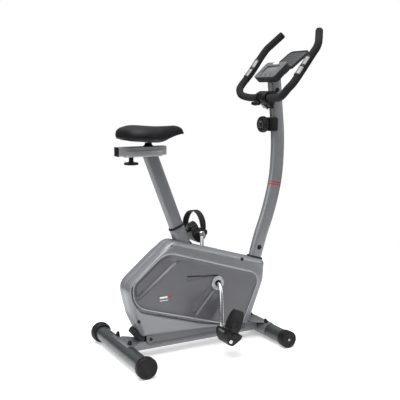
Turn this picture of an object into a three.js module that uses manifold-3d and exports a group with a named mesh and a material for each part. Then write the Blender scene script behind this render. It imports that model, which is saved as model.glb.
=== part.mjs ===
// Upright magnetic exercise bike, modelled as an assembly of separate pieces.
// Millimetres. +X points forward to the handlebar, +Y to the rider's left, +Z up.
// The origin lies on the floor, under the crank axle and in the middle of the footprint.

import * as THREE from 'three';
import { mergeVertices } from 'three/addons/utils/BufferGeometryUtils.js';
import Module from 'manifold-3d';

const wasm = await Module();
wasm.setup();

// ---------------------------------------------------------------- driving dimensions

const GAP = 0.35; // clearance between pieces that touch
const WALL = 2.5; // steel tube wall

const BASE = { rear: -376, front: 217, width: 50, bottom: 30, height: 38 };
const REAR_FOOT = { x: -411.7, tube: 31, cap: 43, halfLength: 250, capDepth: 38 };
const FRONT_FOOT = { x: 252, tube: 30, cap: 36, halfLength: 221.5, capDepth: 44, wheelDepth: 22 };
const CRADLE = { halfLength: 80, thickness: 3, flareLength: 66, from: -20, to: 112 };

const CRANK = { z: 275.6, arm: 176, eye: 129, lean: 8, spindle: 8.5 };
const PEDAL = { length: 95, inner: 141, half: 38, strapHeight: 98 };
const STRAP = { rear: -16, width: 44, slant: 0.34 };
const PEDAL_PITCH = { right: 24, left: 0 }; // degrees, front down
const PULLEY = { radius: 95, y: -28, width: 12 };
const FLYWHEEL = { x: -230, z: 275, radius: 108, pulley: 17, y: 4, width: 24 };

const SEAT_TUBE = { x: -163.6, z: 517.5, lean: 21.06, deep: 68, wide: 37 };
const SEAT_POST = { deep: 61, wide: 30, topZ: 813.6, inserted: 190, holes: 8, pitch: 25 };
const SEAT_PIN = { drop: 35, radius: 4, boss: 9, knob: 27, knobFrom: 47, knobTo: 82 };
const SLIDER = { rear: -424, front: -217, low: 818, high: 854, half: 20 };
const SLEEVE = { rear: -391, front: -236, high: 838 };
const SLIDER_KNOB = { x: -361, radius: 30, low: 783, high: 793 };
const SADDLE_STUB = { x: -287, radius: 14 };

const MAST = { deep: 62, wide: 35 };
const TENSION = { low: 899.5, high: 958, rear: 272, front: 315, half: 24, knob: 35.5, knobRear: 240 };
const BAR = { x: 254, z: 1041, radius: 12.5, foam: 16, clampHalf: 36 };
const CONSOLE = { x: 286, z: 1160.7, tilt: 41.85, half: 77, reach: 47.5, depth: 34 };
const REST = { from: 49, to: 172, half: 70, back: -41, face: -33, tilt: 5, pivot: 30 };
const BRIDGE = { rear: 20, front: 62, half: 50, back: -46 };

// ---------------------------------------------------------------- finishes

function finish(color, roughness, metalness) {
  return new THREE.MeshStandardMaterial({ color, roughness, metalness });
}

const SILVER_PAINT = () => finish(0x8b8d92, 0.42, 0.55);
const DARK_PAINT = () => finish(0x55575b, 0.4, 0.5);
const COVER_PLASTIC = () => finish(0x7c7e83, 0.4, 0.35);
const BLACK_PLASTIC = () => finish(0x1b1b1e, 0.5, 0);
const FOAM = () => finish(0x2b2b2c, 0.95, 0);
const VINYL = () => finish(0x1f1f22, 0.5, 0);
const CHROME = () => finish(0xd9dadd, 0.12, 1);
const STEEL = () => finish(0x9a9b9e, 0.35, 1);
const RUBBER = () => finish(0x161617, 0.85, 0);
const GREY_PLASTIC = () => finish(0x6e7076, 0.5, 0.1);
const LENS = () => finish(0x8f988f, 0.15, 0);

const bike = new THREE.Group();

function add(parent, name, geometry, material) {
  const mesh = new THREE.Mesh(facingOut(geometry), material);
  mesh.name = name;
  parent.add(mesh);
  return mesh;
}

// ---------------------------------------------------------------- solids

function welded(geometry) {
  const bare = geometry.clone();
  bare.deleteAttribute('normal');
  bare.deleteAttribute('uv');
  return mergeVertices(bare, 1e-4);
}

function signedVolume(geometry) {
  const points = geometry.attributes.position;
  const order = geometry.index.array;
  const corner = [new THREE.Vector3(), new THREE.Vector3(), new THREE.Vector3()];
  let volume = 0;
  for (let i = 0; i < order.length; i += 3) {
    corner.forEach((v, k) => v.fromBufferAttribute(points, order[i + k]));
    volume += corner[0].dot(corner[1].clone().cross(corner[2])) / 6;
  }
  return volume;
}

function facingOut(geometry) {
  const bare = welded(geometry);
  if (signedVolume(bare) < 0) {
    const order = bare.index.array;
    for (let i = 0; i < order.length; i += 3) {
      [order[i + 1], order[i + 2]] = [order[i + 2], order[i + 1]];
    }
  }
  return bare;
}

function toManifold(geometry) {
  const bare = facingOut(geometry);
  const order = Array.from(bare.index.array);
  const position = bare.attributes.position.array;
  const kept = [];
  for (let i = 0; i < order.length; i += 3) {
    const [a, b, c] = [order[i], order[i + 1], order[i + 2]];
    if (a !== b && b !== c && c !== a) kept.push(a, b, c);
  }
  const vertProperties = Float32Array.from(position);
  const triVerts = Uint32Array.from(kept);
  return new wasm.Manifold(new wasm.Mesh({ numProp: 3, vertProperties, triVerts }));
}

function fromManifold(solid) {
  const mesh = solid.getMesh();
  const geometry = new THREE.BufferGeometry();
  geometry.setAttribute('position', new THREE.BufferAttribute(mesh.vertProperties, 3));
  geometry.setIndex(new THREE.BufferAttribute(mesh.triVerts, 1));
  return geometry;
}

function combine(operation, first, others) {
  const result = others.reduce((solid, next) => solid[operation](toManifold(next)), toManifold(first));
  return fromManifold(result);
}

const join = (first, ...others) => combine('add', first, others);
const cut = (first, ...others) => combine('subtract', first, others);
const overlap = (first, ...others) => combine('intersect', first, others);

// ---------------------------------------------------------------- shapes

const v2 = (x, y) => new THREE.Vector2(x, y);
const v3 = (x, y, z) => new THREE.Vector3(x, y, z);
const radians = THREE.MathUtils.degToRad;

function box(x0, x1, y0, y1, z0, z1) {
  const geometry = new THREE.BoxGeometry(x1 - x0, y1 - y0, z1 - z0);
  return geometry.translate((x0 + x1) / 2, (y0 + y1) / 2, (z0 + z1) / 2);
}

// A round bar along Y, X or Z from one coordinate to the other.
function barY(x, z, radius, y0, y1, sides = 24) {
  const geometry = new THREE.CylinderGeometry(radius, radius, y1 - y0, sides);
  return geometry.translate(x, (y0 + y1) / 2, z);
}

function barX(y, z, radius, x0, x1, sides = 24) {
  const geometry = new THREE.CylinderGeometry(radius, radius, x1 - x0, sides);
  return geometry.rotateZ(-Math.PI / 2).translate((x0 + x1) / 2, y, z);
}

function barZ(x, y, radius, z0, z1, sides = 24) {
  const geometry = new THREE.CylinderGeometry(radius, radius, z1 - z0, sides);
  return geometry.rotateX(Math.PI / 2).translate(x, y, (z0 + z1) / 2);
}

// A turned piece about an axis along Y; the profile lists [radius, y].
function turned(profile, x, z, sides = 32) {
  const points = profile.map(([radius, y]) => v2(radius, y));
  return new THREE.LatheGeometry(points, sides).translate(x, 0, z);
}

// A plate drawn in X and Z, with its thickness along Y.
function plate(shape, y0, y1, bevel = null) {
  const size = bevel ? bevel.size : 0;
  const thickness = bevel ? bevel.thickness : 0;
  const options = {
    depth: y1 - y0 - 2 * thickness,
    bevelEnabled: Boolean(bevel),
    bevelThickness: thickness,
    bevelSize: size,
    bevelOffset: bevel ? -size - (bevel.inset || 0) : 0,
    bevelSegments: bevel ? bevel.segments || 1 : 0,
    curveSegments: 8,
  };
  const geometry = new THREE.ExtrudeGeometry(shape, options);
  return geometry.rotateX(Math.PI / 2).translate(0, y1 - thickness, 0);
}

// A plate drawn in X and Y, with its thickness along Z.
function slab(shape, z0, z1, curveSegments = 6) {
  const options = { depth: z1 - z0, bevelEnabled: false, curveSegments };
  return new THREE.ExtrudeGeometry(shape, options).translate(0, 0, z0);
}

function polygon(corners) {
  return new THREE.Shape(corners.map(([x, y]) => v2(x, y)));
}

// A closed outline with rounded corners; each corner is [x, y, radius].
function rounded(corners, steps = 5) {
  const points = [];
  corners.forEach(([x, y, radius], i) => {
    const here = v2(x, y);
    const before = corners[(i + corners.length - 1) % corners.length];
    const after = corners[(i + 1) % corners.length];
    const back = v2(before[0], before[1]).sub(here).normalize();
    const ahead = v2(after[0], after[1]).sub(here).normalize();
    const half = Math.acos(back.dot(ahead)) / 2;
    const reach = radius / Math.tan(half);
    const start = here.clone().addScaledVector(back, reach);
    const end = here.clone().addScaledVector(ahead, reach);
    const arc = new THREE.QuadraticBezierCurve(start, here, end);
    points.push(...arc.getPoints(steps));
  });
  return new THREE.Shape(points);
}

function roundedBox(halfX, halfY, radius) {
  return rounded([
    [-halfX, -halfY, radius],
    [halfX, -halfY, radius],
    [halfX, halfY, radius],
    [-halfX, halfY, radius],
  ], 4);
}

// A flat-oval section: x is the narrow side, y the deep side.
function flatOval(wide, deep, steps = 2) {
  const radius = wide / 2;
  const straight = deep / 2 - radius;
  const shape = new THREE.Shape();
  shape.absarc(0, straight, radius, 0, Math.PI, false);
  shape.absarc(0, -straight, radius, Math.PI, 2 * Math.PI, false);
  return new THREE.Shape(shape.getPoints(steps));
}

function circle(radius, sides = 12) {
  const points = [];
  for (let i = 0; i < sides; i += 1) {
    const angle = (2 * Math.PI * i) / sides;
    points.push(v2(radius * Math.cos(angle), radius * Math.sin(angle)));
  }
  return new THREE.Shape(points);
}

function hollow(outer, inner) {
  outer.holes.push(new THREE.Path(inner.getPoints().reverse()));
  return outer;
}

function sweep(shape, curve, steps) {
  const options = { steps, extrudePath: curve, bevelEnabled: false };
  return new THREE.ExtrudeGeometry(shape, options);
}

// A stretch of a longer curve, from one share of its length to another.
class Stretch extends THREE.Curve {
  constructor(curve, from, to) {
    super();
    Object.assign(this, { curve, from, to });
  }

  getPoint(t) {
    return this.curve.getPointAt(THREE.MathUtils.lerp(this.from, this.to, t));
  }
}

// A closed skin through rings of points, with flat ends.
function loft(rings) {
  const count = rings[0].length;
  const middle = (ring) => ring.reduce((sum, p) => sum.add(p), v3(0, 0, 0)).divideScalar(count);
  const points = [...rings.flat(), middle(rings[0]), middle(rings.at(-1))];
  const first = points.length - 2;
  const last = points.length - 1;
  const order = [];
  for (let i = 0; i < count; i += 1) {
    const j = (i + 1) % count;
    for (let k = 0; k + 1 < rings.length; k += 1) {
      const [a, b, c, d] = [k * count + i, k * count + j, (k + 1) * count + i, (k + 1) * count + j];
      order.push(a, b, d, a, d, c);
    }
    const top = (rings.length - 1) * count;
    order.push(first, j, i, last, top + i, top + j);
  }
  const geometry = new THREE.BufferGeometry().setFromPoints(points);
  geometry.setIndex(order);
  return geometry;
}

// A round knob outline with shallow finger lobes.
function lobedOutline(radius, lobes, depth, steps = 6) {
  const points = [];
  for (let i = 0; i < lobes * steps; i += 1) {
    const angle = (2 * Math.PI * i) / (lobes * steps);
    const r = radius - depth * (0.5 - 0.5 * Math.cos(lobes * angle));
    points.push(v2(r * Math.cos(angle), r * Math.sin(angle)));
  }
  return new THREE.Shape(points);
}

const SIDES = [['right', -1], ['left', 1]];

// Turns a drawing in X and Y with thickness along Z to one in Y and Z with thickness along X.
const Z_ONTO_X = new THREE.Matrix4().makeBasis(v3(0, 1, 0), v3(0, 0, 1), v3(1, 0, 0));

// A lobed knob whose axis lies along X.
function lobedKnobX(radius, lobes, depth, x0, x1) {
  const geometry = slab(lobedOutline(radius, lobes, depth, 4), x0, x1);
  return geometry.applyMatrix4(Z_ONTO_X);
}

// ---------------------------------------------------------------- base and feet

function addBase() {
  const { rear, front, width, bottom, height } = BASE;
  const half = width / 2;
  const top = bottom + height;
  const tube = box(rear, front, -half, half, bottom, top);
  const bore = box(rear - 1, front + 1, -half + WALL, half - WALL, bottom + WALL, top - WALL);
  add(bike, 'base_tube', cut(tube, bore), SILVER_PAINT());
}

// A saddle plate rolled over the foot tube, with a flared top gusset on to the base tube.
function cradle(foot, inward) {
  const inner = foot.tube + GAP;
  const outer = inner + CRADLE.thickness;
  const arc = new THREE.Shape();
  arc.absarc(0, 0, outer, radians(CRADLE.from), radians(CRADLE.to), false);
  arc.absarc(0, 0, inner, radians(CRADLE.to), radians(CRADLE.from), true);
  const wrap = plate(arc, -CRADLE.halfLength, CRADLE.halfLength);
  const topZ = BASE.bottom + BASE.height + GAP;
  const start = Math.sqrt(outer ** 2 - (topZ - foot.cap) ** 2) - 1.5;
  const gusset = slab(polygon([
    [start, -CRADLE.flareLength],
    [start + 8, -CRADLE.flareLength],
    [start + 62, -BASE.width / 2],
    [start + 62, BASE.width / 2],
    [start + 8, CRADLE.flareLength],
    [start, CRADLE.flareLength],
  ]), topZ - foot.cap, topZ - foot.cap + CRADLE.thickness);
  const piece = join(wrap, gusset);
  if (inward < 0) piece.rotateZ(Math.PI);
  return piece.translate(foot.x, 0, foot.cap);
}

const FOOT_SIDES = 24;

function footTube(foot, halfLength) {
  const inner = foot.tube - WALL;
  const profile = [
    [inner, -halfLength], [foot.tube, -halfLength], [foot.tube, halfLength], [inner, halfLength],
    [inner, -halfLength],
  ];
  return turned(profile, foot.x, foot.cap, FOOT_SIDES);
}

function addRearFoot() {
  const { x, tube, cap, halfLength, capDepth } = REAR_FOOT;
  const tubeEnd = halfLength - 28;
  add(bike, 'rear_stabilizer', footTube(REAR_FOOT, tubeEnd), DARK_PAINT());
  add(bike, 'rear_cradle', cradle(REAR_FOOT, 1), SILVER_PAINT());
  for (const [side, sign] of SIDES) {
    const sleeve = tube + GAP;
    const mouth = halfLength - capDepth;
    const profile = [
      [0, halfLength], [cap - 5, halfLength], [cap - 1.5, halfLength - 1.5], [cap, halfLength - 5],
      [cap, mouth + 12], [cap - 5, mouth], [sleeve, mouth], [sleeve, tubeEnd + GAP],
      [0, tubeEnd + GAP],
    ];
    const points = profile.map(([radius, y]) => [radius, sign * y]);
    add(bike, `rear_cap_${side}`, turned(points, x, cap, FOOT_SIDES), BLACK_PLASTIC());
  }
}

function addFrontFoot() {
  const { x, tube, cap, halfLength, capDepth, wheelDepth } = FRONT_FOOT;
  const tubeEnd = halfLength - wheelDepth - 6;
  const mouth = halfLength - capDepth;
  const split = halfLength - wheelDepth;
  const axle = 6;
  const sleeve = tube + GAP;
  add(bike, 'front_stabilizer', footTube(FRONT_FOOT, tubeEnd), DARK_PAINT());
  add(bike, 'front_cradle', cradle(FRONT_FOOT, -1), SILVER_PAINT());
  for (const [side, sign] of SIDES) {
    const mirror = (profile) => profile.map(([radius, y]) => [radius, sign * y]);
    const collar = mirror([
      [0, halfLength - 1], [axle, halfLength - 1], [axle, split - GAP], [cap - 1, split - GAP],
      [cap - 1, mouth + 6], [cap - 3, mouth], [sleeve, mouth], [sleeve, tubeEnd + GAP],
      [0, tubeEnd + GAP],
    ]);
    const bore = axle + 0.5;
    const wheel = mirror([
      [bore, split + GAP], [cap, split + GAP], [cap, halfLength - 4], [cap - 4, halfLength],
      [bore, halfLength], [bore, split + GAP],
    ]);
    add(bike, `front_collar_${side}`, turned(collar, x, cap, FOOT_SIDES), BLACK_PLASTIC());
    add(bike, `transport_wheel_${side}`, turned(wheel, x, cap, FOOT_SIDES), BLACK_PLASTIC());
  }
}

// ---------------------------------------------------------------- mast line

const MAST_LINE = new THREE.CatmullRomCurve3([
  v3(210.6, 0, 332), v3(218, 0, 356), v3(245.5, 0, 447), v3(277, 0, 533), v3(303, 0, 620),
  v3(321, 0, 707), v3(328.5, 0, 816), v3(327, 0, 903), v3(319, 0, 989), v3(309, 0, 1095),
  v3(301.5, 0, 1170),
]);

function mastSolid(allowance, steps = 16) {
  return sweep(flatOval(MAST.wide + 2 * allowance, MAST.deep + 2 * allowance), MAST_LINE, steps);
}

function consoleMatrix() {
  const turn = new THREE.Matrix4().makeRotationY(-radians(CONSOLE.tilt));
  return turn.setPosition(CONSOLE.x, 0, CONSOLE.z);
}

function addMast() {
  const outer = sweep(flatOval(MAST.wide, MAST.deep), new Stretch(MAST_LINE, 0.002, 1), 16);
  const inner = sweep(flatOval(MAST.wide - 2 * WALL, MAST.deep - 2 * WALL), MAST_LINE, 16);
  const above = box(-150, 150, -60, 60, -CONSOLE.depth - GAP, 200).applyMatrix4(consoleMatrix());
  add(bike, 'mast', cut(outer, inner, above), SILVER_PAINT());
}

// The post that the mast slides over, from the base tube up inside the housing.
const FRONT_POST = { foot: v3(131, 0, 40), top: v3(236, 0, 418), wide: 28, deep: 49 };

function frontPostSolid(allowance, extra = 0) {
  const { foot, top, wide, deep } = FRONT_POST;
  const line = new THREE.LineCurve3(foot, top.clone().lerp(foot, -extra));
  return sweep(flatOval(wide + 2 * allowance, deep + 2 * allowance), line, 1);
}

function addFrontPost() {
  const below = box(60, 220, -60, 60, 0, BASE.bottom + BASE.height + GAP);
  const tube = cut(frontPostSolid(0), frontPostSolid(-WALL, 0.01), below);
  add(bike, 'front_post', tube, DARK_PAINT());
}

// ---------------------------------------------------------------- seat tube and bottom bracket

const SEAT_TURN = -radians(SEAT_TUBE.lean);

function seatMatrix() {
  return new THREE.Matrix4().makeRotationY(SEAT_TURN).setPosition(SEAT_TUBE.x, 0, SEAT_TUBE.z);
}

// A flat-oval bar in the seat tube's own frame, along its axis.
function seatOval(wide, deep, z0, z1) {
  const shape = flatOval(wide, deep);
  return slab(new THREE.Shape(shape.getPoints().map((p) => v2(p.y, p.x))), z0, z1);
}

function addSeatTube() {
  const { wide, deep } = SEAT_TUBE;
  const outer = seatOval(wide, deep, -520, 0).applyMatrix4(seatMatrix());
  const inner = seatOval(wide - 6, deep - 6, -540, 1).applyMatrix4(seatMatrix());
  const below = box(-200, 200, -60, 60, -100, BASE.bottom + BASE.height + GAP);
  const pinHole = barX(0, -SEAT_PIN.drop, SEAT_PIN.radius + 1, 20, 40, 10);
  const drilled = pinHole.clone().applyMatrix4(seatMatrix());
  add(bike, 'seat_tube', cut(outer, inner, below, drilled), SILVER_PAINT());

  const collar = join(seatOval(wide + 2, deep + 2, GAP, 7), seatOval(wide - 6.6, deep - 6.6, -60, 3));
  const bore = seatOval(SEAT_POST.wide + 0.8, SEAT_POST.deep + 0.8, -61, 8);
  const bushing = cut(collar, bore, pinHole).applyMatrix4(seatMatrix());
  add(bike, 'post_bushing', bushing, BLACK_PLASTIC());
}

function addBottomBracket() {
  const rim = 25;
  const shell = barY(0, CRANK.z, rim, -14, 36, 28);
  const web = box(-75, -5, -14, 14, CRANK.z - 16, CRANK.z + 14);
  const bore = barY(0, CRANK.z, rim - 3, -20, 40, 28);
  const tube = seatOval(SEAT_TUBE.wide + 2 * GAP, SEAT_TUBE.deep + 2 * GAP, -520, 0);
  const behind = box(-120, -60, -40, 40, CRANK.z - 40, CRANK.z + 40);
  const piece = cut(join(shell, web), bore, tube.applyMatrix4(seatMatrix()), behind);
  add(bike, 'bb_shell', piece, DARK_PAINT());
  const cups = [['bearing_cup_right', -14, -1], ['bearing_cup_left', 36, 1]];
  for (const [name, face, sign] of cups) {
    const start = face + sign * GAP;
    const profile = [
      [CRANK.spindle + 1, start], [rim, start], [rim, start + sign * 3], [16, start + sign * 5.5],
      [CRANK.spindle + 1, start + sign * 5.5], [CRANK.spindle + 1, start],
    ];
    add(bike, name, turned(profile, 0, CRANK.z, 16), STEEL());
  }
}

// ---------------------------------------------------------------- drive

function addFlywheel() {
  const { x, z, radius, pulley, y, width } = FLYWHEEL;
  const axle = 5;
  const beltLow = PULLEY.y - PULLEY.width / 2;
  const beltHigh = PULLEY.y + PULLEY.width / 2;
  const low = y - width / 2;
  const high = y + width / 2;
  const bore = axle + 0.5;
  const profile = [
    [bore, beltLow - 2], [pulley + 2, beltLow - 2], [pulley + 2, beltLow], [pulley, beltLow + 0.5],
    [pulley, beltHigh - 0.5], [pulley + 2, beltHigh], [pulley + 2, y - 3], [radius - 22, y - 3],
    [radius - 20, low], [radius, low], [radius, high], [radius - 20, high], [radius - 22, y + 3],
    [pulley, y + 3], [pulley, high + 3], [bore, high + 3], [bore, beltLow - 2],
  ];
  add(bike, 'flywheel', turned(profile, x, z, 28), STEEL());
  add(bike, 'flywheel_axle', barY(x, z, axle, -50, 34, 16), STEEL());
}

// A fork plate stands beside the flywheel; the right one steps out to clear the belt.
function addFork() {
  const { x, z } = FLYWHEEL;
  const side = BASE.width / 2 + GAP;
  const thickness = 3;
  const outline = polygon([
    [x - 62, 45], [x + 62, 45], [x + 62, 100], [x + 18, z], [x + 12, z + 16],
    [x - 12, z + 16], [x - 18, z], [x - 62, 100],
  ]);
  const hole = barY(x, z, 5.4, -60, 60, 16);
  const step = 14;
  const profile = new THREE.Shape([
    v2(-side, 45), v2(-side, 102), v2(-side - step, 110), v2(-side - step, 300),
    v2(-side - step - thickness, 300), v2(-side - step - thickness, 109),
    v2(-side - thickness, 101), v2(-side - thickness, 45),
  ]);
  const options = { depth: 160, bevelEnabled: false };
  const folded = new THREE.ExtrudeGeometry(profile, options);
  folded.applyMatrix4(Z_ONTO_X);
  folded.translate(x - 80, 0, 0);
  const right = cut(overlap(folded, plate(outline, -60, 60)), hole);
  add(bike, 'fork_plate_right', right, DARK_PAINT());

  const arm = polygon([
    [x - 20, z - 90], [x - 10, z - 30], [x - 100, z - 28], [x - 119, z - 30], [x - 119, z - 50],
    [x - 100, z - 54],
  ]);
  const left = join(plate(outline, side, side + thickness), plate(arm, side, side + thickness));
  add(bike, 'fork_plate_left', cut(left, hole), DARK_PAINT());
}

// The magnet carrier hugs the lower rear of the flywheel rim and swings on a pin.
const MAGNET_PIVOT = { x: FLYWHEEL.x - 109, z: FLYWHEEL.z - 40 };

function addMagnetCarrier() {
  const { x, z, radius, y } = FLYWHEEL;
  const inner = radius + 8;
  const arc = new THREE.Shape();
  arc.absarc(x, z, inner + 4, radians(202), radians(285), false);
  arc.absarc(x, z, inner, radians(285), radians(202), true);
  let carrier = plate(arc, y - 12, y + 12);
  for (const angle of [220, 245, 270]) {
    const magnet = box(-10, 10, y - 10, y + 10, inner - 5, inner + 1);
    magnet.rotateY(-radians(angle - 90)).translate(x, 0, z);
    carrier = join(carrier, magnet);
  }
  const eye = barY(MAGNET_PIVOT.x, MAGNET_PIVOT.z, 8, y - 12, y + 12, 16);
  const pin = barY(MAGNET_PIVOT.x, MAGNET_PIVOT.z, 3.5, y + 11, BASE.width / 2, 16);
  add(bike, 'magnet_carrier', join(carrier, eye, pin), STEEL());
}

// The belt runs straight between two arcs, from the crank pulley to the flywheel pulley.
function beltOutline(clearance) {
  const big = PULLEY.radius + clearance;
  const small = FLYWHEEL.pulley + clearance;
  const span = -FLYWHEEL.x;
  const lean = Math.asin((big - small) / span);
  const shape = new THREE.Shape();
  const quarter = Math.PI / 2;
  shape.absarc(0, CRANK.z, big, -quarter - lean, quarter + lean, false);
  shape.absarc(FLYWHEEL.x, FLYWHEEL.z, small, quarter + lean, 3 * quarter - lean, false);
  return new THREE.Shape(shape.getPoints(16));
}

function addPulleyAndBelt() {
  const low = PULLEY.y - PULLEY.width / 2;
  const high = PULLEY.y + PULLEY.width / 2;
  const bore = CRANK.spindle + 0.4;
  const profile = [
    [bore, low - 3], [20, low - 3], [20, PULLEY.y - 2], [PULLEY.radius - 9, PULLEY.y - 2],
    [PULLEY.radius - 6, low], [PULLEY.radius, low], [PULLEY.radius, high],
    [PULLEY.radius - 6, high], [PULLEY.radius - 9, PULLEY.y + 2], [20, PULLEY.y + 2], [20, high],
    [bore, high], [bore, low - 3],
  ];
  add(bike, 'crank_pulley', turned(profile, 0, CRANK.z, 28), BLACK_PLASTIC());
  const band = hollow(beltOutline(4), beltOutline(1));
  add(bike, 'drive_belt', plate(band, low + 1, high - 1), RUBBER());
}

// One forged bar makes both crank arms and the spindle between them.
function addCrank() {
  const reach = [
    [0, 40], [2, 62], [8, 74], [24, 86], [52, 96], [100, 109], [150, 122], [CRANK.arm - 12, 127],
  ];
  const lean = radians(CRANK.lean);
  const at = (along, y, sign) => v3(
    sign * along * Math.sin(lean), sign * y, CRANK.z + sign * along * Math.cos(lean));
  const left = reach.map(([along, y]) => at(along, y, 1));
  const right = reach.map(([along, y]) => at(along, y, -1)).reverse();
  const line = new THREE.CatmullRomCurve3([...right, at(0, 0, 1), ...left]);
  let crank = sweep(circle(CRANK.spindle, 8), line, 36);
  for (const [side, sign] of SIDES) {
    const eye = at(CRANK.arm, 0, sign);
    const face = CRANK.eye + 6;
    const axleEnd = PEDAL.inner + PEDAL.length - 6;
    const profile = [
      [0, face - 14], [14, face - 14], [14, face], [11, face], [11, face + 4], [7, face + 6],
      [7, axleEnd], [0, axleEnd],
    ].map(([radius, y]) => [radius, sign * y]);
    crank = join(crank, turned(profile, eye.x, eye.z, 14));
    addPedal(side, sign, eye);
  }
  add(bike, 'crank', crank, CHROME());
}

// Each pedal hangs level by its deep weighted belly; a strap arches slantwise over the foot space.
function addPedal(side, sign, eye) {
  const { length, inner, half, strapHeight } = PEDAL;
  const group = new THREE.Group();
  group.position.set(eye.x, 0, eye.z);
  group.rotation.y = radians(PEDAL_PITCH[side]);
  bike.add(group);
  const outer = inner + length;
  const [y0, y1] = [sign * inner, sign * outer].sort((a, b) => a - b);
  const section = rounded([
    [-half, 12, 3], [-half, -6, 5], [-half + 16, -30, 10], [-6, -42, 8], [12, -40, 8],
    [half - 12, -22, 8], [half, -4, 4], [half, 12, 3],
  ], 3);
  const hole = barY(0, 0, 8, y0, y1, 16);
  add(group, `pedal_${side}`, cut(plate(section, y0 + 4, y1 - 4), hole), BLACK_PLASTIC());

  const middle = (y0 + y1) / 2;
  const span = length / 2 + 2;
  const thick = 3;
  const low = 12 + GAP;
  const bend = 25;
  const hem = span - 12;
  const arch = new THREE.Shape();
  arch.moveTo(hem, low);
  arch.lineTo(span + thick, low);
  arch.absellipse(0, bend, span + thick, strapHeight - bend, 0, Math.PI, false, 0);
  arch.lineTo(-span - thick, low);
  arch.lineTo(-hem, low);
  arch.lineTo(-hem, low + thick);
  arch.lineTo(-span, low + thick);
  arch.absellipse(0, bend, span, strapHeight - bend - thick, Math.PI, 0, true, 0);
  arch.lineTo(span, low + thick);
  arch.lineTo(hem, low + thick);
  const options = { depth: STRAP.width, bevelEnabled: false, curveSegments: 10 };
  const strap = new THREE.ExtrudeGeometry(new THREE.Shape(arch.getPoints(8)), options);
  strap.applyMatrix4(Z_ONTO_X);
  const slant = new THREE.Matrix4();
  slant.set(1, -sign * STRAP.slant, 0, 0, 0, 1, 0, 0, 0, 0, 1, 0, 0, 0, 0, 1);
  strap.applyMatrix4(slant).translate(STRAP.rear, middle, 0);
  add(group, `pedal_strap_${side}`, strap, RUBBER());
}

// ---------------------------------------------------------------- housing

const RIM_OUTLINE = [
  [-409, 302, 62], [-384, 185, 60], [-342, 91, 24], [165, 74, 24], [238, 260, 60], [246, 342, 24],
  [-206, 475, 56],
];
const PANEL_OUTLINE = [
  [-381, 327, 50], [-381, 236, 72], [41, 93, 40], [129, 93, 24], [217, 286, 32], [-246, 436, 80],
];
const RIM_HALF = 50;
const PANEL_HALF = 56;

function housingBody() {
  const rim = rounded(RIM_OUTLINE, 5);
  const panel = rounded(PANEL_OUTLINE, 4);
  const outer = join(
    plate(rim, -RIM_HALF, RIM_HALF, { size: 13, thickness: 9 }),
    plate(panel, -PANEL_HALF, PANEL_HALF, { size: 5, thickness: 4 }),
  );
  const inner = join(
    plate(rim, 3 - RIM_HALF, RIM_HALF - 3, { size: 13, thickness: 9, inset: 3 }),
    plate(panel, 3 - PANEL_HALF, PANEL_HALF - 3, { size: 5, thickness: 4, inset: 4 }),
  );
  return cut(outer, inner);
}

function addHousing() {
  const slotHalf = 29.5;
  const skirtOuter = 33.5;
  let body = housingBody();
  for (const [, sign] of SIDES) {
    const [a, b] = [sign * slotHalf, sign * skirtOuter].sort((p, q) => p - q);
    body = join(body, box(-300, 148, a, b, 48, 86));
  }
  const slot = box(-318, 152, -slotHalf, slotHalf, 40, 96);
  const seat = seatOval(SEAT_TUBE.wide + 2, SEAT_TUBE.deep + 2, -300, 20).applyMatrix4(seatMatrix());
  const mast = mastSolid(1);
  const crankHole = barY(0, CRANK.z, 27.4, -80, 80, 20);
  body = cut(body, slot, seat, mast, frontPostSolid(1), crankHole);
  const far = 400;
  for (const [side, sign] of SIDES) {
    const [a, b] = [sign * GAP / 2, sign * far].sort((p, q) => p - q);
    add(bike, `${side}_cover`, overlap(body, box(-600, 600, a, b, 0, 700)), COVER_PLASTIC());

    const face = PANEL_HALF + GAP;
    const ring = [
      [13, face - 8], [26.5, face - 8], [26.5, face], [29, face], [29, face + 2], [26, face + 4],
      [15, face + 4], [13, face + 2.5], [13, face - 8],
    ].map(([radius, y]) => [radius, sign * y]);
    add(bike, `crank_ring_${side}`, turned(ring, 0, CRANK.z, 20), GREY_PLASTIC());
  }

  const tail = plate(polygon([
    [-374, 104], [-365, 121], [-355, 121], [-348, 105], [-343.5, 94], [-334, 89], [-321, 88],
    [-321, 71.8], [-345, 71.8],
  ]), -28, 28);
  const shell = plate(rounded(RIM_OUTLINE, 5), -RIM_HALF, RIM_HALF);
  shell.scale(1.002, 1, 1.002).translate(0.6, 0, -0.8);
  add(bike, 'tail_cap', cut(tail, shell), BLACK_PLASTIC());
}

// ---------------------------------------------------------------- seat

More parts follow.
